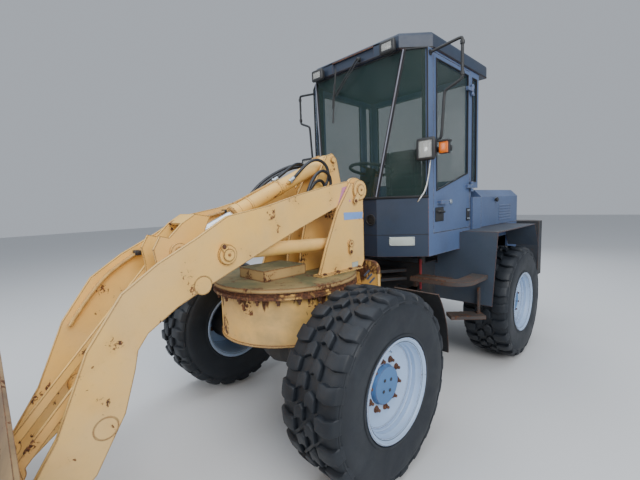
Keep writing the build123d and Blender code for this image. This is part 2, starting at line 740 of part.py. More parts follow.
def cab_rear():
    inner = CAB_HALF - CAB_T
    low = block(-CAB_HALF, CAB_HALF, HOOD_FRONT, HOOD_FRONT + CAB_T, CAB_LOW, SHELF_Z)
    shelf = block(-inner, inner, HOOD_FRONT, CAB_REAR, SHELF_Z, SHELF_Z + 20)
    wall = block(-inner, inner, CAB_REAR - CAB_T, CAB_REAR, SHELF_Z + 20, ROOF_LOW)
    window = block(-inner + 60, inner - 60, CAB_REAR - 100, CAB_REAR + 100, SHELF_Z + 80, WINDOW_HEAD)
    ear_low, ear_high = HOOD_HINGE_HALF - 24, HOOD_HINGE_HALF - 2
    ear = block(ear_low, ear_high, CAB_REAR, HOOD_HINGE[0], HOOD_HINGE[1] + 8, HOOD_HINGE[1] + 30)
    ear += pin_x(HOOD_HINGE, HOOD_HINGE_R + 16, ear_low, ear_high)
    ear -= pin_x(HOOD_HINGE, HOOD_HINGE_R + RUN, ear_low - 1, ear_high + 1)
    return low + shelf + wall - window + both(ear)


PARTS["cab_rear"] = cab_rear()


def roof():
    side = CAB_HALF + 11
    plan = [(-450, 880), (450, 880), (side, 1062), (side, 2122), (-side, 2122), (-side, 1062)]
    slab = slab_z(plan, ROOF_LOW, ROOF_TOP)
    return chamfer(slab.edges().group_by(Axis.Z)[-1], 26)


PARTS["cab_roof"] = roof()


def pane(points, thickness):
    """A flat pane from its corners, with its thickness to the inside of the cab."""
    face = Face(Wire.make_polygon([Vector(*p) for p in points]))
    normal = face.normal_at()
    centre = face.center()
    inward = Vector(0, 1400, centre.Z) - Vector(centre.X, centre.Y, centre.Z)
    if normal.dot(inward) < 0:
        normal = normal * -1
    return extrude(face, thickness, dir=(normal.X, normal.Y, normal.Z))


top_x = FACET[0] + SCREEN_LEAN * (CAB_HALF - FACET[0]) / (CORNER_Y - FACET[1])
top_y = FACET[1] + SCREEN_LEAN


def windscreen():
    low, high = SILL_Z + 1, ROOF_LOW
    centre = pane([(-FACET[0] + STRIP, FACET[1], low), (FACET[0] - STRIP, FACET[1], low),
                   (top_x - STRIP, top_y, high), (-top_x + STRIP, top_y, high)], GLASS_T)
    share = STRIP / math.hypot(CAB_HALF - FACET[0], CORNER_Y - FACET[1])
    step_x = (CAB_HALF - FACET[0]) * share
    step_y = (CORNER_Y - FACET[1]) * share
    corner = pane([(FACET[0] + step_x, FACET[1] + step_y, low), (CAB_HALF - step_x, CORNER_Y - step_y, low),
                   (CAB_HALF - step_x, CORNER_Y - step_y, high), (top_x + step_x, top_y + step_y, high)], GLASS_T)
    return centre, corner


centre_pane, corner_pane = windscreen()
PARTS["windscreen"] = centre_pane + both(corner_pane)


def posts():
    """The strips at the corners of the glass and the front pillars."""
    strip = bar((FACET[0] - 2, FACET[1] + 12, SILL_Z), (top_x - 2, top_y + 12, ROOF_LOW), 11)
    strip = strip & block(0, 900, 700, 1000, SILL_Z, ROOF_LOW)
    pillar = block(CAB_HALF - 58, CAB_HALF - CAB_T, CORNER_Y + 6, CORNER_Y + 66, SILL_Z, ROOF_LOW)
    return both(strip + pillar)


PARTS["cab_posts"] = posts()

glass_out = CAB_HALF - 8
right = slab_x(DOOR_WINDOW, -glass_out, -glass_out + GLASS_T)
quarter = block(glass_out - GLASS_T, glass_out, DOOR_REAR + 50, CAB_REAR - 50, SHELF_Z + 60, WINDOW_HEAD)
inner_half = CAB_HALF - CAB_T - 60
rear_pane = block(-inner_half, inner_half, CAB_REAR - 14, CAB_REAR - 8, SHELF_Z + 80, WINDOW_HEAD)
PARTS["cab_glass"] = right + both(quarter) + rear_pane


def door():
    outline = [(DOOR_FRONT, DOOR_LOW), (DOOR_REAR, DOOR_LOW), (DOOR_REAR, ROOF_LOW - 20), (DOOR_FRONT, ROOF_LOW - 20)]
    plate = slab_x(outline, CAB_HALF - CAB_T, CAB_HALF) - slab_x(DOOR_WINDOW, 0, 900)
    for z in HINGE_Z:
        plate += block(CAB_HALF, HINGE_AT[0] + 4, HINGE_AT[1] - 90, HINGE_AT[1] - 13, z + 30, z + 60)
        plate += block(HINGE_AT[0] - 12, HINGE_AT[0] + 4, HINGE_AT[1] - 90, HINGE_AT[1], z + 30, z + 60)
        plate += pin_z(HINGE_AT, 14, z + 30, z + 60)
    for z in HINGE_Z:
        plate -= pin_z(HINGE_AT, 7 + RUN, z, z + 90)
    grip = block(CAB_HALF, CAB_HALF + 34, DOOR_FRONT + 60, DOOR_FRONT + 190, 1500, 1526)
    return plate + grip


def door_hinges():
    shape = None
    for z in HINGE_Z:
        for low in (z - 2, z + 62):
            piece = block(CAB_HALF, HINGE_AT[0], HINGE_AT[1] + 4, HINGE_AT[1] + 46, low, low + 26)
            piece += pin_z(HINGE_AT, 14, low, low + 26)
            shape = piece if shape is None else shape + piece
        shape += pin_z(HINGE_AT, 7, z - 2, z + 88)
    return shape


PARTS["door_left"] = door()
PARTS["door_glass"] = slab_x(DOOR_WINDOW, glass_out - GLASS_T, glass_out)
PARTS["cab_left"] = PARTS["cab_left"] + door_hinges()


# Inside the cab

floor_top = CAB_LOW + 22


def seat_pads():
    cushion = block(-250, 250, 1280, 1700, 1380, 1500)
    cushion = fillet(cushion.edges().filter_by(Axis.Z), 40)
    back = slab_x([(1610, 1500), (1700, 1500), (1750, 2060), (1680, 2060)], -230, 230)
    return cushion + back


PARTS["seat_base"] = block(-170, 170, 1380, 1640, floor_top, 1380) + block(-CAB_HALF + 61, -320, 1180, 1700, floor_top, 1560)
PARTS["seat_pads"] = seat_pads()
column = bar((0, 930, floor_top - 4), (0, 1090, 1800), 45) - block(-200, 200, 800, 1200, CAB_LOW - 40, floor_top)
wheel_plane = Plane(origin=(0, 1098, 1828), z_dir=(0, 160, 713))
steer_ring = wheel_plane * Torus(190, 14)
hub_disc = wheel_plane * Pos(0, 0, -14) * Cylinder(46, 28)
spoke = wheel_plane * Box(380, 24, 12)
PARTS["steering_column"] = column + steer_ring + hub_disc + spoke


# Rear body

def body_section(z_low, z_high):
    return [(-BODY_HALF, z_low), (BODY_HALF, z_low), (BODY_HALF, z_high - BODY_CHAMFER), (BODY_HALF - BODY_CHAMFER, z_high),
            (-BODY_HALF + BODY_CHAMFER, z_high), (-BODY_HALF, z_high - BODY_CHAMFER)]


def side_panels():
    """The fixed panels beside the engine, below the hood and beside the cab's heel."""
    low = slab_x([(HOOD_FRONT + GAP, ARCH_TOP), (ARCH_REAR, ARCH_TOP), (ARCH_REAR, BODY_LOW), (BODY_REAR, BODY_LOW),
                  (BODY_REAR, BODY_SPLIT - GAP), (HOOD_FRONT + GAP, BODY_SPLIT - GAP)], BODY_HALF - CAB_T, BODY_HALF)
    shelf = block(RAIL_OUT, BODY_HALF - CAB_T, ARCH_REAR, BODY_REAR, BODY_LOW - 20, BODY_LOW)
    shelf += block(RAIL_OUT - RAIL_T, BODY_HALF, HOOD_FRONT + CAB_T + GAP, ARCH_REAR, ARCH_TOP - 14, ARCH_TOP)
    shelf += block(RAIL_OUT - RAIL_T, RAIL_OUT, HOOD_FRONT + 100, ARCH_REAR, RAIL_TOP, ARCH_TOP - 14)
    front = block(BODY_HALF - CAB_T, BODY_HALF, HOOD_FRONT + GAP, CAB_REAR + 14, BODY_SPLIT - GAP, BODY_TOP - BODY_CHAMFER)
    return both(low + shelf + front)


def hood():
    """The engine hood, open below, with notches for its hinge ears."""
    start = CAB_REAR + 22
    outer = slab_y(body_section(BODY_SPLIT, BODY_TOP), start, BODY_REAR)
    hollow = slab_y([(-BODY_HALF + 20, BODY_SPLIT - 1), (BODY_HALF - 20, BODY_SPLIT - 1), (BODY_HALF - 20, BODY_TOP - 84),
                     (BODY_HALF - 84, BODY_TOP - 20), (-BODY_HALF + 84, BODY_TOP - 20), (-BODY_HALF + 20, BODY_TOP - 84)],
                    start + 20, BODY_REAR - 20)
    notch = block(HOOD_HINGE_HALF - 30, HOOD_HINGE_HALF + 4, start - 1, HOOD_HINGE[0] + 50, BODY_TOP - 40, BODY_TOP + 1)
    return outer - hollow - both(notch)


PARTS["body_sides"] = side_panels()
hood_shape = hood()
hinge_bar = pin_x(HOOD_HINGE, HOOD_HINGE_R, -HOOD_HINGE_HALF, HOOD_HINGE_HALF)
PARTS["hood"] = hood_shape + hinge_bar
weight = slab_z([(-880, BODY_REAR + 10), (880, BODY_REAR + 10), (880, REAR_Y - 90), (780, REAR_Y),
                                 (-780, REAR_Y), (-880, REAR_Y - 90)], RAIL_LOW, BODY_SPLIT - GAP) \
    - block(-RAIL_OUT, RAIL_OUT, BODY_REAR, RAIL_REAR, RAIL_LOW - 1, RAIL_TOP)


def hitch():
    shape = None
    for z in (HITCH_Z - HITCH_GAP / 2 - HITCH_T, HITCH_Z + HITCH_GAP / 2):
        plate = slab_z([(-80, REAR_Y), (80, REAR_Y), (60, REAR_Y + 90), (-60, REAR_Y + 90)], z, z + HITCH_T)
        shape = plate if shape is None else shape + plate
    return shape - pin_z((0, REAR_Y + 50), HITCH_BORE, 0, 2000)


PARTS["counterweight"] = weight + hitch()


# Fenders and steps

def fender(side):
    cab_side = CAB_HALF + GAP
    clear = RAIL_OUT + 30
    bend = WHEELBASE + 490
    apron = slab_y([(RAIL_OUT, APRON_LOW), (FENDER_OUT - 40, APRON_LOW), (FENDER_OUT, APRON_TOP), (cab_side, APRON_TOP),
                    (cab_side, CAB_LOW - GAP), (clear, CAB_LOW - GAP), (clear, RAIL_TOP - 20), (RAIL_OUT, RAIL_TOP - 20)],
                   APRON_Y, APRON_Y + SHEET)
    top = block(BODY_HALF, FENDER_OUT, APRON_Y, bend, APRON_TOP, APRON_TOP + SHEET)
    rear = slab_x([(bend, APRON_TOP), (bend, APRON_TOP + SHEET), (bend + 140, 1000), (bend + 132, 1000)],
                  BODY_HALF, FENDER_OUT)
    shape = apron + top + rear
    return shape if side > 0 else mirror(shape, Plane.YZ)


PARTS["fenders"] = fender(1) + fender(-1)


def steps(side):
    z = 840
    tread = 34
    outer = [
        Line((RAIL_OUT, 1120), (700, 1120)),
        ThreePointArc((700, 1120), (822, 1170), (872, 1292)),
        Line((872, 1292), (872, APRON_Y)),
        Line((872, APRON_Y), (740, APRON_Y)),
        Line((740, APRON_Y), (740, 1292)),
        ThreePointArc((740, 1292), (728, 1263), (700, 1252)),
        Line((700, 1252), (RAIL_OUT, 1252)),
        Line((RAIL_OUT, 1252), (RAIL_OUT, 1120)),
    ]
    upper = Pos(0, 0, z) * extrude(make_face(outer), tread)
    bracket = block(RAIL_OUT, RAIL_OUT + 20, 1180, 1340, z - 60, z)
    y = APRON_Y
    lower = slab_z([(670, y - 260), (885, y - 60), (790, y + 42), (575, y - 158)], 500, 530)
    hanger = block(800, 812, y - 40, y, 500, 760)
    shape = upper + bracket + lower + hanger
    return shape if side > 0 else mirror(shape, Plane.YZ)


PARTS["steps"] = steps(1) + steps(-1)


# Lamps, mirrors and the exhaust

def mirror_bar(side):
    y = 1040
    out = CAB_HALF + 246
    route = [(CAB_HALF, y, 2640), (out, y, 2668), (out, y, 2400), (out - 134, y, 2333), (out - 155, y, 2000),
             (CAB_HALF, y, 1960)]
    shape = None
    for start, end in zip(route, route[1:]):
        piece = bar(start, end, 11)
        shape = piece if shape is None else shape + piece
        shape += Pos(*end) * Sphere(11)
    shape += block(out - 77, out + 63, y - 20, y + 20, 2380, 2640)
    shape -= block(0, CAB_HALF, y - 40, y + 40, 1900, 2700)
    return shape if side > 0 else mirror(shape, Plane.YZ)


PARTS["mirrors"] = mirror_bar(1) + mirror_bar(-1)


def headlamps():
    x = CAB_HALF
    lamp = block(x - 31, x + 104, 900, 985, 1845, 1985)
    amber = block(x + 119, x + 189, 930, 985, 1870, 1950)
    arm_bar = block(x, x + 179, 1015, 1035, 1890, 1930) + block(x + 19, x + 59, 985, 1015, 1890, 1930)
    arm_bar += block(x + 139, x + 169, 985, 1015, 1890, 1930)
    return both(lamp + amber + arm_bar)


PARTS["lamps"] = headlamps() + both(block(300, 430, 820, 880, 2690, 2770))
PARTS["tail_lamps"] = both(block(620, 760, REAR_Y, REAR_Y + 24, 1010, 1090))
PARTS["exhaust"] = pin_z(EXHAUST_AT, EXHAUST_R, BODY_TOP, BODY_TOP + 280)

# Export, with the box of the whole machine centred on Y = 0
low_y = min(part.bounding_box().min.Y for part in PARTS.values())
high_y = max(part.bounding_box().max.Y for part in PARTS.values())
CENTRE_Y = -(low_y + high_y) / 2
for name, part in PARTS.items():
    export_step(Pos(0, CENTRE_Y, 0) * part, "parts/" + name + ".step")
print("shift", CENTRE_Y, "pieces", len(PARTS))
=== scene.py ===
import json
import math

import bpy
from mathutils import Matrix, Vector


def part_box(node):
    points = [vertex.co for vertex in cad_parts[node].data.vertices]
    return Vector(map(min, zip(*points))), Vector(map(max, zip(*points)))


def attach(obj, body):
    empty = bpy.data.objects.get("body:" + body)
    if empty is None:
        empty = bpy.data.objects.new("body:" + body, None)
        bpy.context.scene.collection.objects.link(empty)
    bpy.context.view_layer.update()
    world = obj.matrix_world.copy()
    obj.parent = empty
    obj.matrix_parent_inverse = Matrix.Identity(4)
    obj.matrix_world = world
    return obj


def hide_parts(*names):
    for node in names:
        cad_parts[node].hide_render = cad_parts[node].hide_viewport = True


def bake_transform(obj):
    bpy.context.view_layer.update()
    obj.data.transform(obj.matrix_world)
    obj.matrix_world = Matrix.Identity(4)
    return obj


bl_info = {
    "name": "Wheel loader dressing",
    "version": (1, 0, 0),
    "blender": (4, 5, 0),
    "location": "View3D > Sidebar > Loader",
    "description": "Dresses the packed wheel loader with tyres, hoses, cab fittings, paint and wear",
    "category": "Object",
}

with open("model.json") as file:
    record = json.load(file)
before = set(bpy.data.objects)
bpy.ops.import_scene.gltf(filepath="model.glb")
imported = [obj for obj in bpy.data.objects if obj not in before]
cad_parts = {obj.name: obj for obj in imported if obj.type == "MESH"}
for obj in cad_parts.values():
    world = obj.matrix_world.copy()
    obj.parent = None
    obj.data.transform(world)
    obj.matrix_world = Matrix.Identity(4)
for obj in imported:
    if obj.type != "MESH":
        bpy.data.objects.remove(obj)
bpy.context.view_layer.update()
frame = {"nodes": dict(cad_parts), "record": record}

# The front axle's place along the machine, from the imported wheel
AXLE_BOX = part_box("rim_fl")
AXLE_Y = (AXLE_BOX[0][1] + AXLE_BOX[1][1]) / 2

X, Y, Z = Vector((1, 0, 0)), Vector((0, 1, 0)), Vector((0, 0, 1))
ORIGIN = Vector((0, 0, 0))


def count_of(name, description, default, low, high):
    return bpy.props.IntProperty(name=name, description=description, default=default, min=low, max=high)


def length_of(name, description, default, low, high):
    return bpy.props.FloatProperty(
        name=name, description=description, default=default, min=low, max=high, unit="LENGTH")


def colour_of(name, description, default):
    return bpy.props.FloatVectorProperty(
        name=name, description=description, default=default, size=3, subtype="COLOR")


class LoaderSizes(bpy.types.PropertyGroup):
    """Sizes of the repeated and fitted pieces."""

    lugs: count_of("Lugs", "Tread lugs on each half of a tyre", 22, 8, 40)
    nuts: count_of("Wheel nuts", "Nuts that hold each wheel", 10, 4, 16)
    ring_bolts: count_of("Ring bolts", "Bolts round the slewing ring's flange", 24, 8, 60)
    hose: length_of("Hose", "Outside diameter of a hydraulic hose", 0.023, 0.01, 0.04)
    seal: length_of("Seal", "Half the width of the rubber round each window", 0.008, 0.002, 0.02)
    step_teeth: count_of("Step teeth", "Teeth along each edge of the upper steps", 22, 4, 60)


class LoaderColours(bpy.types.PropertyGroup):
    """Paint and rubber colours of the machine."""

    sand: colour_of("Sand paint", "Paint of boom, tower and drum", (0.88, 0.53, 0.135))
    sand_faded: colour_of("Faded sand paint", "Its faded patches", (0.76, 0.50, 0.20))
    cab: colour_of("Cab paint", "Paint of door, cab sides and hood", (0.085, 0.135, 0.265))
    # The cab paint darkened as painted shade, for the roof and the panels under the windscreen
    cab_front: colour_of("Cab paint in painted shade", "Painted shade on the cab paint, for the roof and under the windscreen",
                         (0.020, 0.036, 0.070))
    rim: colour_of("Rim paint", "Paint of the rims", (0.40, 0.55, 0.78))
    hub: colour_of("Hub paint", "Paint of the hubs", (0.08, 0.20, 0.42))
    rubber: colour_of("Tyre rubber", "Rubber of the tyres", (0.006, 0.009, 0.014))


def sizes():
    return bpy.context.scene.loader_sizes


def colours():
    return bpy.context.scene.loader_colours


def at(x, y, z):
    """A point in metres, from millimetres to the left, behind the front axle and above the ground."""
    return Vector((x / 1000, y / 1000 + AXLE_Y, z / 1000))


def mm(value):
    return value / 1000


# Modelling helpers

def deselect():
    if bpy.context.object and bpy.context.object.mode != "OBJECT":
        bpy.ops.object.mode_set(mode="OBJECT")
    bpy.ops.object.select_all(action="DESELECT")


def only(obj):
    deselect()
    obj.select_set(True)
    bpy.context.view_layer.objects.active = obj
    return obj


def enter_edit():
    bpy.ops.object.mode_set(mode="EDIT")


def edit(select="SELECT", kind="VERT"):
    enter_edit()
    bpy.ops.mesh.select_mode(type=kind)
    bpy.ops.mesh.select_all(action=select)


def leave_edit():
    bpy.ops.object.mode_set(mode="OBJECT")


def apply_place(obj):
    only(obj)
    bpy.ops.object.transform_apply(location=True, rotation=True, scale=True)
    return obj


def pick(obj, kind, test):
    """Goes into edit mode with only those faces or edges selected that pass the test."""
    only(obj)
    edit("DESELECT", kind)
    leave_edit()
    for item in obj.data.polygons if kind == "FACE" else obj.data.edges:
        item.select = test(item)
    enter_edit()


def bevel(width, segments=1):
    """Bevels the selected edges and leaves edit mode."""
    bpy.ops.mesh.bevel(offset=width, segments=segments, affect="EDGES")
    leave_edit()


def extrude(step):
    bpy.ops.mesh.extrude_region_move(TRANSFORM_OT_translate={"value": step})


def recalculate(obj):
    only(obj)
    edit()
    bpy.ops.mesh.remove_doubles(threshold=0.00002)
    bpy.ops.mesh.normals_make_consistent(inside=False)
    leave_edit()
    return obj


def moved(obj, matrix):
    """Moves a piece by its mesh, so that its object stays at the origin."""
    obj.data.transform(matrix)
    return obj


def block(low, high, edge=4, segments=2):
    """A box between two corners given in millimetres, with rounded edges."""
    deselect()
    size = [mm(h - l) for l, h in zip(low, high)]
    middle = at(*[(l + h) / 2 for l, h in zip(low, high)])
    bpy.ops.mesh.primitive_cube_add(size=1, location=middle, scale=size)
    obj = apply_place(bpy.context.object)
    edit()
    bevel(mm(edge), segments)
    return obj


def turned(centre, axis, profile, sides=32):
    """A lathe piece about an axis, from a profile of places along it and radii in millimetres."""
    deselect()
    direction = Vector(axis).normalized()
    turn = Z.rotation_difference(direction).to_euler()
    closed_start = profile[0][1] == 0
    start = profile[1] if closed_start else profile[0]
    bpy.ops.mesh.primitive_circle_add(
        vertices=sides, radius=mm(start[1]), fill_type="NOTHING",
        location=centre + direction * mm(start[0]), rotation=turn)
    obj = apply_place(bpy.context.object)
    edit(kind="EDGE")
    if closed_start:
        bpy.ops.mesh.edge_face_add()
    last_along, last_radius = start
    for along, radius in profile[2 if closed_start else 1:]:
        move = direction * mm(along - last_along)
        bpy.ops.mesh.extrude_edges_move(TRANSFORM_OT_translate={"value": move})
        if radius == 0:
            bpy.ops.mesh.merge(type="CENTER")
            break
        factor = radius / last_radius
        bpy.ops.transform.resize(value=(factor,) * 3, center_override=centre + direction * mm(along))
        last_along, last_radius = along, radius
    leave_edit()
    return recalculate(obj)


def plate(points, axis, low, high, edge):
    """A flat plate from an outline of millimetres in the two other axes, with bevelled rims."""
    deselect()
    bpy.ops.mesh.primitive_circle_add(vertices=len(points), radius=1, fill_type="NGON", location=(0, 0, 0))
    obj = bpy.context.object
    for vertex, (u, v) in zip(obj.data.vertices, points):
        place = {"X": (low, u, v), "Y": (u, low, v), "Z": (u, v, low)}[axis]
        vertex.co = at(*place)
    edit()
    extrude({"X": X, "Y": Y, "Z": Z}[axis] * mm(high - low))
    leave_edit()
    recalculate(obj)
    if edge:
        edit()
        bevel(mm(edge))
    return obj


def line(points, radius, closed=False, smooth=False, sides=8):
    """A round rod, seal or hose along points in millimetres, with its ends closed."""
    deselect()
    curve = bpy.data.curves.new("line", "CURVE")
    curve.dimensions = "3D"
    curve.bevel_depth = mm(radius)
    curve.bevel_resolution = max(1, sides // 4)
    curve.resolution_u = 8
    curve.use_fill_caps = True
    spline = curve.splines.new("NURBS" if smooth else "POLY")
    spline.points.add(len(points) - 1)
    for point, place in zip(spline.points, points):
        point.co = (*at(*place), 1)
    if smooth:
        spline.order_u = 3
        spline.use_endpoint_u = True
    spline.use_cyclic_u = closed
    obj = bpy.data.objects.new("line", curve)
    bpy.context.collection.objects.link(obj)
    only(obj)
    bpy.ops.object.convert(target="MESH")
    return recalculate(bpy.context.object)


def copied(obj, matrix):
    """A copy of a piece with its own mesh, moved by a matrix."""
    copy = obj.copy()
    copy.data = obj.data.copy()
    copy.data.transform(matrix)
    bpy.context.collection.objects.link(copy)
    return copy


def copies(obj, places):
    """Copies of a modelled piece at the given places, in its stead."""
    made = [copied(obj, matrix) for matrix in places]
    bpy.data.objects.remove(obj, do_unlink=True)
    return made


def join(objs):
    """One piece from a list of pieces; a single piece stays as it is."""
    if isinstance(objs, bpy.types.Object):
        return objs
    deselect()
    for obj in objs:
        obj.select_set(True)
    bpy.context.view_layer.objects.active = objs[0]
    if len(objs) > 1:
        bpy.ops.object.join()
    return bpy.context.object


def mirrored(objs):
    """Pieces and their mirror images on the machine's other side, as one piece."""
    obj = join(objs)
    copy = copied(obj, Matrix.Scale(-1, 4, X))
    only(copy)
    edit()
    bpy.ops.mesh.flip_normals()
    leave_edit()
    return join([obj, copy])


def cover(obj, material):
    """Gives a piece one finish and no other."""
    obj.data.materials.clear()
    obj.data.materials.append(finish(material))


def fit(objs, name, body, material, angle=35):
    """Joins pieces to one, names it, gives it its finish and lets it ride on its body."""
    obj = join(objs)
    obj.name = name
    obj.data.name = name
    cover(obj, material)
    only(obj)
    bpy.ops.object.shade_smooth_by_angle(angle=math.radians(angle))
    deselect()
    if body:
        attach(obj, body)
    return obj


def about(axis, degrees, centre):
    """A turn about a line through a point."""
    turn = Matrix.Rotation(math.radians(degrees), 4, axis)
    return Matrix.Translation(centre) @ turn @ Matrix.Translation(-centre)


def bolt(place, axis, radius, washer=True):
    """A hexagon bolt head on its washer, standing on a surface and pointing along an axis."""
    direction = Vector(axis).normalized()
    height = radius * 0.7
    head = turned(place, axis, [(2, 0), (2, radius), (height, radius), (height + 1.5, radius * 0.86),
                                (height + 1.5, 0)], 6)
    if not washer:
        return head
    base = turned(place - direction * 0.001, axis,
                  [(0, 0), (0, radius * 1.3), (3, radius * 1.3), (3.6, radius), (3.6, 0)], 16)
    return join([head, base])


# Shader helpers

def feed(tree, node, values):
    """Sets a node's inputs, each to a number, a colour or another node's output."""
    for key, value in values.items():
        if isinstance(value, bpy.types.NodeSocket):
            tree.links.new(value, node.inputs[key])
        else:
            node.inputs[key].default_value = value


def add(tree, kind, values=None, **settings):
    """A shader node with its settings and its inputs."""
    node = tree.nodes.new(kind)
    for key, value in settings.items():
        setattr(node, key, value)
    feed(tree, node, values or {})
    return node


def maths(tree, operation, a, b, clamp=False):
    return add(tree, "ShaderNodeMath", {0: a, 1: b}, operation=operation, use_clamp=clamp).outputs[0]


def times(tree, a, b):
    return maths(tree, "MULTIPLY", a, b)


def plus(tree, a, b, clamp=False):
    return maths(tree, "ADD", a, b, clamp)


def minus(tree, a, b):
    return maths(tree, "SUBTRACT", a, b)


def mix(tree, factor, a, b):
    """A blend of two colours."""
    return add(tree, "ShaderNodeMix", {0: factor, 6: a, 7: b}, data_type="RGBA", blend_type="MIX").outputs[2]


def bumps(tree, strength, distance, height):
    return add(tree, "ShaderNodeBump", {"Strength": strength, "Distance": distance,
                                        "Height": height}).outputs[0]


def ramp(tree, value, low, high):
    """A mask that rises from 0 to 1 as the value goes from low to high."""
    return add(tree, "ShaderNodeMapRange", {"Value": value, "From Min": low, "From Max": high},
               interpolation_type="SMOOTHSTEP").outputs[0]


def noise(tree, scale, detail=4, roughness=0.55, distortion=0.0, vector=None):
    if vector is None:
        vector = add(tree, "ShaderNodeTexCoord").outputs["Object"]
    return add(tree, "ShaderNodeTexNoise", {
        "Vector": vector, "Scale": scale, "Detail": detail, "Roughness": roughness, "Distortion": distortion},
        noise_dimensions="3D").outputs["Fac"]


def group(name, inputs):
    """A shared effect: its tree, its named numbers and the mask that it puts out."""
    tree = bpy.data.node_groups.new(name, "ShaderNodeTree")
    for label, value in inputs.items():
        socket = tree.interface.new_socket(name=label, in_out="INPUT", socket_type="NodeSocketFloat")
        socket.default_value = value
    tree.interface.new_socket(name="Mask", in_out="OUTPUT", socket_type="NodeSocketFloat")
    given, out = tree.nodes.new("NodeGroupInput"), tree.nodes.new("NodeGroupOutput")
    return tree, given.outputs, out.inputs["Mask"]


def edge_group():
    """Bare edges: how far the surface's rounded normal leaves its own, broken up by noise."""
    tree, given, out = group("Edge wear", {"Width": 0.006, "Amount": 0.5, "Scale": 30.0})
    rounded = add(tree, "ShaderNodeBevel", {"Radius": given["Width"]}, samples=4)
    flat = add(tree, "ShaderNodeNewGeometry")
    dot = add(tree, "ShaderNodeVectorMath", {0: rounded.outputs[0], 1: flat.outputs["Normal"]},
              operation="DOT_PRODUCT")
    bend = minus(tree, 1.0, dot.outputs["Value"])
    broken = noise(tree, given["Scale"], 5, 0.65)
    reach = times(tree, bend, 6.0)
    total = plus(tree, reach, broken)
    limit = minus(tree, 1.35, given["Amount"])
    mask = ramp(tree, total, limit, plus(tree, limit, 0.12))
    near = ramp(tree, bend, 0.01, 0.04)
    tree.links.new(times(tree, mask, near), out)
    return tree


def chip_group():
    """Chipped spots and scratches through the paint."""
    tree, given, out = group("Paint chips", {"Scale": 9.0, "Amount": 0.3})
    coarse = noise(tree, given["Scale"], 2, 0.5)
    fine = noise(tree, times(tree, given["Scale"], 7.0), 6, 0.7, 0.6)
    where = ramp(tree, coarse, 0.5, 0.72)
    reach = times(tree, where, 0.22)
    total = plus(tree, fine, reach)
    limit = minus(tree, 1.0, times(tree, given["Amount"], 0.45))
    tree.links.new(ramp(tree, total, limit, plus(tree, limit, 0.03)), out)
    return tree


def grime_group():
    """Dirt that gathers in patches and on faces that look up."""
    tree, given, out = group("Grime", {"Scale": 3.0, "Amount": 0.4, "On Top": 0.5})
    patches = noise(tree, given["Scale"], 7, 0.62, 0.3)
    up = add(tree, "ShaderNodeSeparateXYZ",
             {0: add(tree, "ShaderNodeNewGeometry").outputs["Normal"]}).outputs["Z"]
    top = times(tree, ramp(tree, up, 0.6, 0.95), given["On Top"])
    base = ramp(tree, patches, 0.42, 0.75)
    sum_up = plus(tree, times(tree, base, given["Amount"]), times(tree, top, patches))
    tree.links.new(maths(tree, "MINIMUM", sum_up, 1.0), out)
    return tree


def runs_group():
    """Rust on the slewing ring, which runs down the drum below it; the heights are in metres."""
    tree, given, out = group("Rust runs", {"Ring": 0.972, "Reach": 0.13})
    place = add(tree, "ShaderNodeTexCoord").outputs["Object"]
    height = add(tree, "ShaderNodeSeparateXYZ", {0: place}).outputs["Z"]
    streaks = noise(tree, 15.0, 5, 0.6, 0.2, vector=add(tree, "ShaderNodeMapping", {
        "Vector": place, "Scale": (1.0, 1.0, 0.12)}).outputs[0])
    low = minus(tree, given["Ring"], given["Reach"])
    near = ramp(tree, height, low, given["Ring"])
    runs = ramp(tree, plus(tree, streaks, times(tree, near, 0.16)), 0.66, 0.70)
    under = times(tree, runs, ramp(tree, near, 0.02, 0.3))
    on_ring = ramp(tree, height, minus(tree, given["Ring"], 0.004), given["Ring"])
    patches = ramp(tree, noise(tree, 11.0, 6, 0.7, 0.6), 0.40, 0.50)
    tree.links.new(maths(tree, "MAXIMUM", under, times(tree, on_ring, patches)), out)
    return tree


GROUPS = {"Edge wear": edge_group, "Paint chips": chip_group, "Grime": grime_group, "Rust runs": runs_group}


def use(tree, shared, **values):
    """A shared effect's output, with its inputs set; an underscore in a name stands for a space."""
    node = add(tree, "ShaderNodeGroup", node_tree=bpy.data.node_groups.get(shared) or GROUPS[shared]())
    feed(tree, node, {key.replace("_", " "): value for key, value in values.items()})
    return node.outputs[0]


# Finishes

RUST = (0.075, 0.030, 0.016)
RUST_LIGHT = (0.22, 0.085, 0.035)
DIRT = (0.09, 0.075, 0.055)
MOSS = (0.10, 0.10, 0.045)
SMEAR = (0.16, 0.17, 0.15, 1)


def rgba(colour, factor=1.0):
    return tuple(part * factor for part in colour[:3]) + (1,)


def new_material(name):
    material = bpy.data.materials.new(name)
    material.use_nodes = True
    return material, material.node_tree, material.node_tree.nodes["Principled BSDF"]


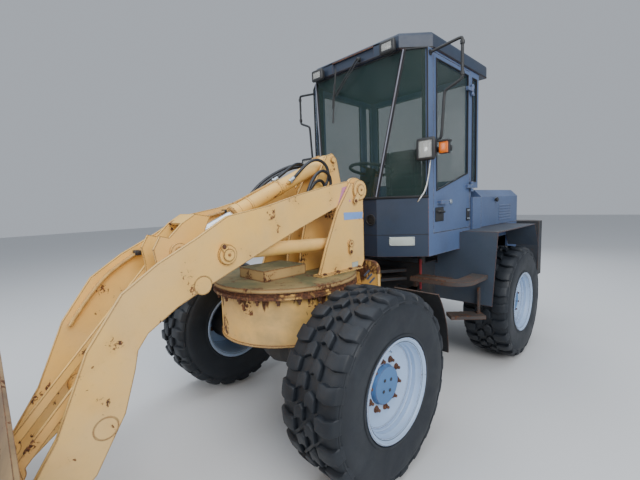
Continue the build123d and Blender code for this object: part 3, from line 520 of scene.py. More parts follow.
def paint(name, colour, faded, edges, edge_width, chips, chip_scale, grime, on_top, rough, dirt=DIRT,
          bare=RUST, ring=False):
    """Painted metal with faded patches, bare edges, chips that show rust, and dirt.

    The slewing ring also has rust that runs down from it.
    """
    material, tree, shader = new_material(name)
    fade = ramp(tree, noise(tree, 1.6, 5, 0.6, 0.4), 0.35, 0.7)
    speck = noise(tree, 46.0, 4, 0.6)
    second = rgba(colour, faded) if isinstance(faded, float) else rgba(faded)
    tone = mix(tree, fade, rgba(colour), second)
    tone = mix(tree, times(tree, ramp(tree, speck, 0.55, 0.8), 0.22), tone, rgba(colour, 0.6))
    worn = use(tree, "Edge wear", Width=edge_width, Amount=edges)
    mask = maths(tree, "MAXIMUM", worn, use(tree, "Paint chips", Scale=chip_scale, Amount=chips))
    if ring:
        mask = maths(tree, "MAXIMUM", mask, use(tree, "Rust runs"))
    rust = mix(tree, ramp(tree, noise(tree, 60.0, 4, 0.7), 0.45, 0.65), rgba(bare), rgba(RUST_LIGHT))
    halo = times(tree, ramp(tree, noise(tree, chip_scale, 2, 0.5), 0.5, 0.75), 0.25)
    tone = mix(tree, halo, tone, (colour[0] * 0.75, colour[1] * 0.6, colour[2] * 0.5, 1))
    tone = mix(tree, use(tree, "Grime", Amount=grime, On_Top=on_top), tone, rgba(dirt))
    tone = mix(tree, mask, tone, rust)
    roughness = plus(tree, rough, times(tree, speck, 0.18))
    roughness = plus(tree, roughness, times(tree, mask, 0.3), True)
    height = minus(tree, times(tree, noise(tree, 90.0, 3), 0.15), mask)
    normal = bumps(tree, 0.25, 0.0015, height)
    feed(tree, shader, {"Base Color": tone, "Roughness": roughness, "Normal": normal})
    return material


def rubber(name, colour, dust, dusty, rough):
    """Rubber or moulded plastic with pale dust and a fine grain."""
    material, tree, shader = new_material(name)
    patches = ramp(tree, noise(tree, 5.0, 6, 0.65, 0.5), 0.35, 0.75)
    dirty = use(tree, "Grime", Scale=7.0, Amount=dusty, On_Top=0.0)
    tone = mix(tree, times(tree, patches, 0.5), rgba(colour), rgba(colour, 1.9))
    feed(tree, shader, {
        "Base Color": mix(tree, dirty, tone, rgba(dust)),
        "Roughness": plus(tree, rough, times(tree, patches, 0.2)),
        "Normal": bumps(tree, 0.3, 0.001, noise(tree, 160.0, 4))})
    return material


def bare_metal(name, colour, rough, rusty):
    """Bare or plated metal with rust spots."""
    material, tree, shader = new_material(name)
    spots = use(tree, "Paint chips", Scale=14.0, Amount=rusty)
    tone = mix(tree, times(tree, noise(tree, 12.0), 0.35), rgba(colour), rgba(colour, 0.6))
    feed(tree, shader, {
        "Base Color": mix(tree, spots, tone, rgba(RUST_LIGHT)),
        "Metallic": minus(tree, 1.0, times(tree, spots, 0.8)),
        "Roughness": plus(tree, rough, times(tree, noise(tree, 30.0, 5), 0.3))})
    return material


def clear_glass(name, colour, rough, alpha, smears=0.4):
    """Glass or a lens as a tinted, partly see-through sheet with smears."""
    material, tree, shader = new_material(name)
    smear = ramp(tree, noise(tree, 1.7, 4, 0.55, 0.4), 0.45, 0.85)
    feed(tree, shader, {
        "Base Color": mix(tree, times(tree, smear, smears), rgba(colour), SMEAR),
        "Roughness": plus(tree, rough, times(tree, smear, 0.06)),
        "Alpha": plus(tree, alpha, times(tree, smear, 0.08)), "IOR": 1.5, "Specular IOR Level": 0.6})
    return material


def cloth(name, colour):
    """Woven seat cloth with a soft sheen."""
    material, tree, shader = new_material(name)
    coords = add(tree, "ShaderNodeTexCoord").outputs["Object"]
    threads = {"Vector": coords, "Scale": 160.0, "Distortion": 1.0}
    warp, weft = (add(tree, "ShaderNodeTexWave", threads, bands_direction=way).outputs["Fac"] for way in "XY")
    weave = times(tree, warp, weft)
    worn = ramp(tree, noise(tree, 6.0, 5), 0.4, 0.7)
    tone = mix(tree, worn, rgba(colour), rgba(colour, 1.6))
    feed(tree, shader, {
        "Base Color": mix(tree, times(tree, weave, 0.5), tone, rgba(colour, 0.5)),
        "Roughness": plus(tree, 0.8, times(tree, weave, 0.1)),
        "Normal": bumps(tree, 0.4, 0.0008, weave), "Sheen Weight": 0.3})
    return material


# Each finish by its short name: builder, name, colour and the builder's further values in their order, which
# for paint are faded colour, bare edges and their width, chips and their scale, grime, grime on top and
# roughness. A colour in quotes is one of the panel's; a faded colour may be a factor of the first one.
FINISHES = {
    "arm": (paint, "Sand paint on the arms", "sand", "sand_faded", 0.8, 0.010, 0.60, 6.0, 0.1, 0.25, 0.45),
    "tower": (paint, "Sand paint on the tower", "sand", "sand_faded", 0.95, 0.012, 0.6, 6.0, 0.14, 0.3, 0.45),
    # The drum's grime is raised partly as dirt and partly as painted shade, darkening the drum under the arms
    "drum": (paint, "Sand paint on the drum", "sand", "sand_faded", 1.0, 0.014, 0.70, 5.0, 0.46, 0.5, 0.45),
    "deck": (paint, "Mossy sand paint", (0.52, 0.34, 0.14), (0.36, 0.25, 0.10), 1.05, 0.016, 0.72, 9.0,
             0.3, 1.7, 0.7),
    "bucket": (paint, "Worn bucket steel", (0.42, 0.28, 0.13), (0.16, 0.11, 0.08), 0.8, 0.006, 0.8, 4.0,
               0.5, 0.3, 0.55),
    "chassis": (paint, "Dark chassis paint", (0.035, 0.042, 0.055), (0.02, 0.024, 0.03), 0.5, 0.006, 0.5,
                9.0, 0.5, 0.5, 0.6),
    "cab": (paint, "Grey blue cab paint", "cab", 0.85, 0.12, 0.006, 0.1, 5.0, 0.12, 0.3, 0.38),
    # The cab paint again, darkened as painted shade for the roof and under the windscreen
    "shaded_cab": (paint, "Dark front cab paint", "cab_front", 0.8, 0.12, 0.006, 0.1, 9.0, 0.15, 0.3, 0.4),
    "black": (paint, "Black trim paint", (0.018, 0.02, 0.024), 0.82, 0.3, 0.006, 0.15, 9.0, 0.2, 0.4, 0.5),
    "fender": (paint, "Worn dark sheet", (0.042, 0.060, 0.090), (0.062, 0.082, 0.115), 0.85, 0.006, 0.35,
               4.0, 0.35, 0.4, 0.6),
    "step": (paint, "Rusty step steel", (0.05, 0.045, 0.045), (0.10, 0.06, 0.045), 0.9, 0.006, 0.8, 9.0,
             0.3, 0.3, 0.7),
    "rim": (paint, "Silver rim paint", "rim", 0.85, 0.45, 0.006, 0.4, 7.0, 0.12, 0.1, 0.35),
    "hub": (paint, "Blue grey hub paint", "hub", 0.8, 0.3, 0.006, 0.25, 9.0, 0.2, 0.2, 0.42),
    "rust": (paint, "Rusty bolt steel", (0.09, 0.045, 0.03), (0.16, 0.07, 0.035), 0.6, 0.006, 0.6, 9.0,
             0.3, 0.4, 0.75),
    "iron": (paint, "Oily engine iron", (0.08, 0.085, 0.09), 0.82, 0.3, 0.006, 0.2, 9.0, 0.6, 0.4, 0.55),
    "red_paint": (paint, "Red lock bar paint", (0.45, 0.03, 0.05), 0.82, 0.3, 0.006, 0.2, 9.0, 0.3, 0.4,
                  0.45),
    "grey": (paint, "Pale grey box paint", (0.24, 0.26, 0.33), 0.82, 0.2, 0.006, 0.1, 9.0, 0.3, 0.4, 0.5),
    "blue_film": (paint, "Pale blue film", (0.21, 0.38, 0.78), 0.82, 0.0, 0.006, 0.35, 20.0, 0.1, 0.4, 0.5),
    "purple_film": (paint, "Faded purple film", (0.42, 0.15, 0.36), (0.58, 0.26, 0.42), 0.0, 0.006, 0.4,
                    18.0, 0.1, 0.4, 0.55),
    "stripe_film": (paint, "Blue stripe film", (0.09, 0.17, 0.33), 0.82, 0.0, 0.006, 0.3, 20.0, 0.1, 0.4,
                    0.5),
    "white_film": (paint, "Blank white plate", (0.50, 0.56, 0.52), (0.42, 0.48, 0.44), 0.1, 0.006, 0.25,
                   16.0, 0.3, 0.4, 0.5),
    "plastic": (rubber, "Black plastic", (0.016, 0.017, 0.019), (0.06, 0.055, 0.05), 0.2, 0.42),
    "seal": (rubber, "Window rubber", (0.010, 0.010, 0.012), (0.05, 0.05, 0.05), 0.2, 0.55),
    "tyre": (rubber, "Tyre rubber", "rubber", (0.030, 0.036, 0.046), 0.35, 0.5),
    "hose": (rubber, "Hose rubber", (0.011, 0.014, 0.020), (0.05, 0.055, 0.06), 0.25, 0.32),
    "chrome": (bare_metal, "Chromed rod", (0.70, 0.72, 0.75), 0.12, 0.05),
    "zinc": (bare_metal, "Plated steel", (0.50, 0.56, 0.62), 0.3, 0.3),
    "reflector": (bare_metal, "Lamp reflector", (0.8, 0.8, 0.78), 0.1, 0.0),
    "cloth": (cloth, "Seat cloth", (0.02, 0.02, 0.024)),
    "glass": (clear_glass, "Tinted cab glass", (0.02, 0.050, 0.042), 0.02, 0.30),
    "lens": (clear_glass, "Lamp glass", (0.75, 0.76, 0.72), 0.12, 0.3, 0.2),
    "amber": (clear_glass, "Amber lens", (0.75, 0.16, 0.01), 0.2, 0.92, 0.1),
    "red": (clear_glass, "Red lens", (0.45, 0.015, 0.01), 0.2, 0.95, 0.1),
}
EXTRAS = {
    "drum": {"ring": True},
    "deck": {"dirt": MOSS},
    "cab": {"bare": (0.30, 0.34, 0.38)},
    "blue_film": {"bare": (0.5, 0.4, 0.3)},
    "purple_film": {"bare": (0.55, 0.32, 0.14)},
    "stripe_film": {"bare": (0.5, 0.4, 0.3)},
}
BUILT = {}


def finish(name):
    """A finish by its short name, built on its first use."""
    if name not in BUILT:
        builder, title, *values = FINISHES[name]
        values = [getattr(colours(), value) if isinstance(value, str) else value for value in values]
        BUILT[name] = builder(title, *values, **EXTRAS.get(name, {}))
    return BUILT[name]


# Finish of each CAD node: by the record's slot, then by node where it differs
BY_SLOT = {
    "tyre": "tyre", "rim_paint": "rim", "loader_paint": "arm", "bucket_paint": "bucket",
    "chassis_paint": "chassis", "body_paint": "cab", "black_paint": "black", "black_plastic": "plastic",
    "red_plastic": "red", "seat_cloth": "cloth", "glazing": "glass", "rod_chrome": "chrome",
    "engine_iron": "iron",
}
BY_NODE = {
    # The front frame takes the drum's paint, darkened by dirt and by painted shade
    "front_frame": "drum", "lift_barrels": "tower", "deck": "deck", "tower_left": "tower",
    # The roof and the front under the windscreen take the cab paint darkened as painted shade
    "tower_right": "tower", "tower_core": "tower", "cab_front": "shaded_cab", "cab_roof": "shaded_cab",
    "fenders": "fender", "steps": "step",
}


# Stage, in millimetres, degrees and pixels of the photograph's 640 wide frame
EYE = (1980.6, -1512.0, 1538.2)
YAW, PITCH, ROLL = 45.8, -6.0, -2.1
FOCAL_PX, FRAME_WIDTH = 348.1, 640

# the camera's sensor in millimetres, and the floor's width and its place below the ground in metres
SENSOR = 36
FLOOR_SIZE, FLOOR_DROP = 60, 0.002
SKY_COLOUR, SKY_STRENGTH = (0.80, 0.86, 0.95, 1), 0.55

# name, place in metres, aim, size in metres, watts, colour
LIGHTS = [
    ("Key", (7.0, -2.5, 5.5), (0.0, 0.0, 1.2), 5.0, 560, (1.0, 0.98, 0.95)),
    ("Sky", (0.0, -1.0, 8.0), (0.0, 0.0, 0.0), 8.0, 460, (0.86, 0.92, 1.0)),
    ("Front", (-2.5, -8.0, 3.5), (0.0, -0.5, 1.0), 4.0, 230, (0.95, 0.97, 1.0)),
    ("Back", (-3.5, 7.0, 4.0), (0.0, 0.5, 1.4), 4.0, 200, (0.9, 0.95, 1.0)),
]


def place_camera():
    yaw, pitch, roll = math.radians(YAW), math.radians(PITCH), math.radians(ROLL)
    ahead = Vector((-math.sin(yaw) * math.cos(pitch), math.cos(yaw) * math.cos(pitch), math.sin(pitch)))
    right = ahead.cross(Z).normalized()
    up = right.cross(ahead)
    across = right * math.cos(roll) + up * math.sin(roll)
    upward = up * math.cos(roll) - right * math.sin(roll)
    bpy.ops.object.camera_add(location=at(*EYE))
    camera = bpy.context.object
    matrix = Matrix((across, upward, -ahead)).transposed().to_4x4()
    matrix.translation = at(*EYE)
    camera.matrix_world = matrix
    camera.data.sensor_width = SENSOR
    camera.data.lens = FOCAL_PX * SENSOR / FRAME_WIDTH
    camera.data.clip_start = 0.02
    bpy.context.scene.camera = camera


def place_floor():
    deselect()
    bpy.ops.mesh.primitive_plane_add(size=FLOOR_SIZE, location=(0, 0, -FLOOR_DROP))
    floor = bpy.context.object
    floor.name = "Floor"
    edit(kind="FACE")
    bpy.ops.mesh.subdivide(number_cuts=3)
    leave_edit()
    apply_place(floor)
    material, tree, shader = new_material("Pale floor")
    feed(tree, shader, {"Base Color": (0.62, 0.63, 0.64, 1), "Roughness": 0.85})
    floor.data.materials.append(material)


def place_lights():
    for name, place, aim, size, watts, colour in LIGHTS:
        bpy.ops.object.light_add(type="AREA", location=place)
        lamp = bpy.context.object
        lamp.name = name
        lamp.data.size = size
        lamp.data.energy = watts
        lamp.data.color = colour
        lamp.rotation_euler = (Vector(aim) - Vector(place)).to_track_quat("-Z", "Y").to_euler()
    world = bpy.context.scene.world or bpy.data.worlds.new("World")
    bpy.context.scene.world = world
    world.use_nodes = True
    feed(world.node_tree, world.node_tree.nodes["Background"],
         {"Color": SKY_COLOUR, "Strength": SKY_STRENGTH})


class LOADER_OT_stage(bpy.types.Operator):
    """Places the camera of the photograph, the floor and the lights"""

    bl_idname = "loader.stage"
    bl_label = "Set the stage"

    def execute(self, context):
        place_camera()
        place_floor()
        place_lights()
        return {"FINISHED"}


class LOADER_OT_finishes(bpy.types.Operator):
    """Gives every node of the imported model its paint, rubber, glass or metal"""

    bl_idname = "loader.finishes"
    bl_label = "Paint the machine"

    def execute(self, context):
        for part in frame["record"]["subparts"]:
            node = part["node"]
            cover(frame["nodes"][node], BY_NODE.get(node, BY_SLOT[part["material_slot"]]))
        return {"FINISHED"}


# Wheels

TRACK_HALF, WHEELBASE, TYRE_R = 807, 2150, 530
LUG_SHARP, LUG_DEPTH, LUG_EDGE = math.radians(40), 0.034, 0.005
# the lugs flare towards their root, which lies this far from the axle, in metres
LUG_FLARE, LUG_ROOT = (0.985, 1.12, 1), 0.49
DISC_FACE, NUT_CIRCLE, HUB_BOLT_CIRCLE, VALVE_CIRCLE = 79, 137, 42, 226
# across and radius of the tyre's skin under the lugs, from the outer bead to the tread
CARCASS = [(176, 256), (178, 283), (186, 316), (193, 360), (196, 405), (195, 440), (189, 462), (184, 468),
           (187, 478), (182, 490), (168, 499), (120, 503), (60, 505)]
# the lugs' columns: across, the start and end around the tread, and how much lower the top lies
SHOULDER_LUG = [(74, -34, 30, 0), (96, -40, 34, 0), (128, -46, 28, 1), (160, -40, 38, 5), (181, -34, 46, 16),
                (190, -30, 48, 40)]
CENTRE_LUG = [(4, -40, 22, 0), (24, -26, 40, 0), (46, -36, 30, 0), (66, -50, 16, 0)]
# across and radius of the rim, from the outer lip round the barrel, and of its disc
RIM_OUTER = [(176, 268), (179, 279), (186, 281), (190, 276), (187, 268), (178, 262), (172, 252), (150, 248),
             (140, 240), (118, 238), (112, 232), (100, 230), (97, 222)]
DISC = [(97, 222), (94, 212), (84, 196), (80, 180), (79, 150), (79, 112)]
HUB = [(79, 112), (79, 108), (100, 106), (107, 102), (108, 0)]
RIM_INNER = [(-176, 268), (-179, 279), (-186, 281), (-190, 276), (-187, 268), (-178, 262), (-172, 252),
             (-150, 244), (60, 240), (97, 224)]
# name, side, place behind the front axle, and how far the wheel has rolled, in lug pitches
CORNERS = [("fl", 1, 0, 0.35), ("fr", -1, 0, 1.3), ("rl", 1, WHEELBASE, 2.2), ("rr", -1, WHEELBASE, 0.8)]


def lug(columns, side):
    """One tread lug from a grid whose columns follow the table, at the top of a tyre about the origin."""
    deselect()
    rows = 3
    per_column = rows + 1
    bpy.ops.mesh.primitive_grid_add(x_subdivisions=len(columns) - 1, y_subdivisions=rows, size=1)
    obj = bpy.context.object
    verts = sorted(obj.data.vertices, key=lambda v: (round(v.co.x, 4), round(v.co.y, 4)))
    for number, vertex in enumerate(verts):
        across, start, end, drop = columns[number // per_column]
        share = (number % per_column) / rows
        around = (start + (end - start) * share) / TYRE_R
        radius = mm(TYRE_R - 2 - drop)
        vertex.co = Vector((mm(across * side), radius * math.sin(around), radius * math.cos(around)))
    edit()
    extrude((0, 0, -LUG_DEPTH))
    bpy.ops.transform.resize(value=LUG_FLARE, center_override=(mm(110 * side), 0, LUG_ROOT))
    leave_edit()
    recalculate(obj)
    faces = {}
    for face in obj.data.polygons:
        for key in face.edge_keys:
            faces.setdefault(key, []).append(face.normal.copy())

    def sharp(side_edge):
        normals = faces[side_edge.key]
        return len(normals) == 2 and normals[0].angle(normals[1]) > LUG_SHARP

    pick(obj, "EDGE", sharp)
    bevel(LUG_EDGE, 2)
    return obj


def turns(count, lead=0.0):
    """Even turns about the X axis that make up a full circle, from a lead given in steps."""
    return [Matrix.Rotation(2 * math.pi * (i + lead) / count, 4, "X") for i in range(count)]


def tyre_model():
    """A tyre about the X axis at the origin, with its outer side at +X."""
    profile = CARCASS + [(-a, r) for a, r in reversed(CARCASS)]
    pieces = [turned(ORIGIN, X, profile, 96)]
    count = sizes().lugs
    for side, phase in ((1, 0.0), (-1, 0.5)):
        for columns, lead in ((SHOULDER_LUG, 0.0), (CENTRE_LUG, 0.42)):
            pieces += copies(lug(columns, side), turns(count, phase + lead))
    ring = turned(ORIGIN, X, [(183, 474), (190, 476), (191, 480), (186, 484)], 96)
    bead = turned(ORIGIN, X, [(178, 284), (186, 288), (187, 296), (185, 302)], 96)
    for extra in (ring, bead):
        pieces += copies(extra, [Matrix.Identity(4), Matrix.Rotation(math.pi, 4, "Z")])
    return join(pieces)


def nut_model():
    """A wheel nut with its stud, standing at the origin and pointing along +X."""
    head = bolt(ORIGIN, X, 15.5)
    stud = turned(ORIGIN, X, [(10, 9), (26, 9), (28, 7), (28, 0)], 12)
    return join([head, stud])


def around_axle(model, count, radius, x=0, lead=0.0):
    """Copies of a piece in a circle about the X axis, as one piece."""
    out = Matrix.Translation((mm(x), 0, mm(radius)))
    return join(copies(model, [turn @ out for turn in turns(count, lead)]))


def wheel_models():
    """Name, model, finish and slot of each piece of a wheel."""
    rim = join([turned(ORIGIN, X, RIM_OUTER + DISC[1:], 72), turned(ORIGIN, X, RIM_INNER, 72)])
    nuts = around_axle(nut_model(), sizes().nuts, NUT_CIRCLE, DISC_FACE)
    # Flat black discs on the hub's face stand for its four holes, as painted shade
    shade_disc = turned(ORIGIN, X, [(109, 10), (110.5, 9), (110.5, 0)], 16)
    shade_discs = around_axle(shade_disc, 4, HUB_BOLT_CIRCLE, lead=0.3)
    stem = turned(Vector((0.11, 0, mm(VALVE_CIRCLE))), (0.9, 0, -0.3),
                  [(0, 7), (34, 7), (36, 5), (48, 5), (48, 0)], 12)
    tag = moved(block((90, -14, 0), (94, 14, 26), 1.5), Matrix.Translation((0.03, -AXLE_Y, 0.207)))
    return [
        ("tyre", tyre_model(), "tyre", "tyre"),
        ("rim", rim, "rim", "rim_paint"),
        ("hub", turned(ORIGIN, X, HUB, 40), "hub", "rim_paint"),
        ("nuts", nuts, "rust", "rim_paint"),
        ("hub_bolts", shade_discs, "plastic", "rim_paint"),
        ("valve", join([stem, tag]), "zinc", "rod_chrome"),
    ]


class LOADER_OT_wheels(bpy.types.Operator):
    """Makes the four wheels with their lugged tyres, rims, hubs and nuts"""

    bl_idname = "loader.wheels"
    bl_label = "Make the wheels"

    def execute(self, context):
        models = wheel_models()
        pitch = 2 * math.pi / sizes().lugs
        for corner, side, y, rolled in CORNERS:
            turn = Matrix.Rotation(0 if side > 0 else math.pi, 4, "Z")
            rolling = Matrix.Rotation(rolled * pitch, 4, "X")
            place = Matrix.Translation(at(side * TRACK_HALF, y, TYRE_R)) @ turn @ rolling
            for name, model, material, slot in models:
                piece = copied(model, place)
                fit(piece, name + "_" + corner + "_detail", "wheel_" + corner, material, 30)
                if name in ("tyre", "rim"):
                    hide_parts(name + "_" + corner)
        for _, model, _, _ in models:
            bpy.data.objects.remove(model, do_unlink=True)
        return {"FINISHED"}


# Hoses between tower, cylinders and boom pipes

# name, the body that it starts on, the body that it ends on where that differs, and its points
HOSES = [
    ("hose_tilt", "tilt_barrel_body", "turntable",
     [(65, 84, 1702), (66, 128, 1735), (70, 174, 1778), (78, 226, 1824), (92, 284, 1858), (108, 344, 1858),
      (119, 396, 1818), (124, 412, 1755), (128, 392, 1698), (130, 345, 1652), (130, 306, 1612),
      (130, 300, 1545)]),
    ("hose_loop", "turntable", None,
     [(146, 240, 1500), (147, 196, 1502), (150, 156, 1530), (154, 150, 1590), (157, 176, 1660),
      (157, 222, 1724), (155, 280, 1768), (153, 338, 1776), (154, 386, 1746), (152, 404, 1692),
      (148, 392, 1638), (146, 376, 1590), (146, 372, 1545)]),
    ("hose_spare", "turntable", None,
     [(112, 240, 1492), (112, 205, 1494), (113, 170, 1520), (116, 176, 1580), (120, 214, 1640),
      (124, 262, 1692), (126, 318, 1712), (124, 362, 1680), (118, 372, 1620), (112, 366, 1545)]),
    ("hose_boom", "boom", "turntable",
     [(-242, -200, 1526), (-241, -144, 1530), (-237, -92, 1554), (-229, -50, 1600), (-218, -4, 1652),
      (-203, 50, 1704), (-185, 118, 1748), (-165, 196, 1786), (-146, 278, 1820), (-130, 352, 1832),
      (-119, 406, 1802), (-113, 422, 1750), (-112, 424, 1700)]),
    ("hose_boom_far", "boom", "turntable",
     [(-266, -200, 1526), (-265, -150, 1532), (-262, -104, 1560), (-255, -58, 1608), (-246, -10, 1662),
      (-233, 44, 1712), (-216, 110, 1758), (-196, 190, 1800), (-174, 272, 1836), (-152, 350, 1850),
      (-136, 414, 1818), (-138, 434, 1760), (-139, 436, 1700)]),
    ("hose_tilt_far", "tilt_barrel_body", "turntable",
     [(-58, 30, 1712), (-60, 80, 1742), (-66, 140, 1778), (-76, 204, 1816), (-88, 270, 1846),
      (-98, 334, 1852), (-101, 384, 1820), (-98, 402, 1762), (-98, 404, 1700)]),
]


def hose_radius():
    return sizes().hose * 1000 / 2


def hose_collar(start, towards):
    """A crimped collar with its hexagon nut, round a hose's end."""
    direction = (at(*towards) - at(*start)).normalized()
    width = hose_radius()
    nut = turned(at(*start) - direction * 0.012, direction,
                 [(0, 0), (0, width + 6), (14, width + 6), (15, width + 3)], 6)
    sleeve = turned(at(*start), direction, [(3, width + 2), (6, width + 3.5), (14, width + 2.4),
                                            (22, width + 3.5), (38, width + 2.6), (42, width - 1)], 20)
    return join([nut, sleeve])


class LOADER_OT_hoses(bpy.types.Operator):
    """Makes the hydraulic hoses with their collars"""

    bl_idname = "loader.hoses"
    bl_label = "Make the hoses"

    def execute(self, context):
        for name, body, other, points in HOSES:
            hose = line(points, hose_radius(), smooth=True, sides=16)
            crosses = other is not None
            fit(hose, name, None if crosses else body, "hose", 60)
            if crosses:
                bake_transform(hose)
            for suffix, rider, (end, towards) in (
                    ("_collar", body, points[:2]), ("_end_collar", other or body, points[:-3:-1])):
                fit(hose_collar(end, towards), name + suffix, rider, "zinc", 30)
        return {"FINISHED"}


# Boom, cylinders and tower

ARM_OUT, ARM_IN = 308, 280
CHEEK_OUT, FOOT_TOP = 340, 1059
CORE_OUT = 84
BOOM_PIN, LIFT_BASE, LIFT_EYE = (498, 1625), (385, 1242), (-584, 1284)
TILT_BASE, TILT_EYE = (502, 1870), (-760, 1308)
LIFT_X, LIFT_BARREL, LIFT_R, LIFT_ROD_R = 228, 840, 44, 25
TILT_BARREL, TILT_R, TILT_ROD_R = 940, 49, 28
TILT_ALONG = (0, 0.9135, 0.4068)
# behind the front axle and above the ground, of the bolt that holds each keeper
EYE_BOLT, BOOM_BOLT, BASE_BOLT = (-610, 1330), (438, 1547), (382, 1184)
# across, of the keepers' outer faces on the arm's eye, on the cheek's boom pin and on its lift base
EYE_KEEPER, BOOM_KEEPER, BASE_KEEPER = ARM_OUT + 26, CHEEK_OUT + 22, CHEEK_OUT + 13
FILM = 1
# across, of the two steel pipes on the right arm, and their route behind the axle and above the ground
PIPES = (-242, -266)
PIPE_ROUTE = [(-196, 1526), (-301, 1496), (-556, 1452), (-727, 1356), (-924, 1254), (-1080, 1146),
              (-1225, 938)]
CLAMPS = [(-262, 1507), (-470, 1466), (-640, 1406), (-860, 1288)]


def on_circle(centre, radius, angle):
    return centre[0] + radius * math.cos(angle), centre[1] + radius * math.sin(angle)


def stadium(start, end, radius, steps=6):
    """The outline of a bar with round ends."""
    lead = math.atan2(end[1] - start[1], end[0] - start[0])
    points = []
    for centre, first in ((end, lead - math.pi / 2), (start, lead + math.pi / 2)):
        for i in range(steps + 1):
            points.append(on_circle(centre, radius, first + math.pi * i / steps))
    return points


def pin_end(x, place, radius):
    """The turned face of a pin with its grease nipple."""
    face = turned(at(x, *place), X,
                  [(0, 0), (0, radius), (2, radius), (4, radius - 3), (3, radius - 9), (3, 0)], 32)
    nipple = turned(at(x + 3, *place), X, [(0, 0), (0, 6), (4, 6), (5, 3.5), (10, 3.5), (11, 0)], 10)
    return join([face, nipple])


def gland(x, base, eye, length, radius, rod):
    """The collar at a cylinder's head, on its way from base to eye."""
    along = Vector((0, eye[0] - base[0], eye[1] - base[1])).normalized()
    head = at(x, base[0] + along.y * length, base[1] + along.z * length)
    collar = turned(head, along, [(-52, radius - 1), (-52, radius + 5), (-6, radius + 5), (-1, radius + 1),
                                  (4, radius + 1), (4, rod + 1)], 40)
    wiper = turned(head, along, [(4, rod + 9), (10, rod + 7), (10, rod + 0.5)], 32)
    return join([collar, wiper])


class LOADER_OT_boom(bpy.types.Operator):
    """Adds the keepers, pin ends, bolts, film, pipes and clamps of the boom"""

    bl_idname = "loader.boom"
    bl_label = "Fit the boom"

    def execute(self, context):
        keeper = plate(stadium(LIFT_EYE, EYE_BOLT, 19), "X", ARM_OUT + 18.3, EYE_KEEPER, 1.5)
        fit(mirrored(keeper), "boom_keepers", "boom", "arm")
        fit(mirrored(pin_end(EYE_KEEPER, LIFT_EYE, 34)), "boom_pins", "boom", "arm", 30)
        head = bolt(at(EYE_KEEPER, *EYE_BOLT), X, 10)
        fit(mirrored(head), "boom_bolts", "boom", "rust", 30)
        film = plate([(352, 1646), (426, 1658), (350, 1510), (296, 1504)], "X", ARM_OUT + 0.2,
                     ARM_OUT + 0.2 + FILM, 0)
        fit(film, "boom_stripe", "boom", "purple_film")
        pipes = [line([(x, y, z) for y, z in PIPE_ROUTE], 8, smooth=True, sides=12) for x in PIPES]
        fit(pipes, "boom_pipes", "boom", "arm", 60)
        clamps = [block((-ARM_IN, y - 17, z - 15), (PIPES[0] + 13, y + 17, z + 13), 3) for y, z in CLAMPS]
        clamps += [bolt(at(PIPES[0] + 13, y, z), X, 7) for y, z in CLAMPS]
        fit(clamps, "pipe_clamps", "boom", "plastic")
        return {"FINISHED"}


class LOADER_OT_cylinders(bpy.types.Operator):
    """Adds the glands of the lift and tilt cylinders and the tilt cylinder's ports, pipe and bands"""

    bl_idname = "loader.cylinders"
    bl_label = "Fit the cylinders"

    def execute(self, context):
        glands = mirrored(gland(LIFT_X, LIFT_BASE, LIFT_EYE, LIFT_BARREL, LIFT_R, LIFT_ROD_R))
        fit(glands, "lift_glands", "lift_barrel", "tower", 30)
        fit(gland(0, TILT_BASE, TILT_EYE, TILT_BARREL, TILT_R, TILT_ROD_R), "tilt_gland",
            "tilt_barrel_body", "arm", 30)
        ports = [line([(44, 66, 1684), (65, 84, 1702)], 12, sides=16),
                 line([(-42, 24, 1682), (-58, 30, 1712)], 12)]
        pipe = line([(-30, -330, 1556), (-30, -260, 1586), (-30, -40, 1684), (-33, 10, 1700),
                     (-44, 26, 1690)], 8, smooth=True, sides=12)
        bands = [turned(at(0, y, z), TILT_ALONG, [(-9, 49), (-9, 52), (9, 52), (9, 49)], 32)
                 for y, z in ((-230, 1544), (20, 1655))]
        fit(ports + [pipe] + bands, "tilt_ports", "tilt_barrel_body", "arm", 40)
        return {"FINISHED"}


VALVE_OUT = 158
# low corner and high corner of each valve block on the tower's core
VALVES = [
    ((CORE_OUT, 240, 1465), (VALVE_OUT, 400, 1545)),
    ((-152, 390, 1655), (-CORE_OUT, 448, 1700)),
]


def valve_spools():
    """Caps and tie bolts on the face of the left valve block."""
    caps = []
    for y in (262, 300, 338, 376):
        caps.append(turned(at(VALVE_OUT, y, 1505), X, [(0, 0), (0, 14), (12, 14), (14, 11), (14, 0)], 16))
        caps.append(bolt(at(VALVE_OUT - 1, y + 16, 1534), X, 6, washer=False))
    return join(caps)


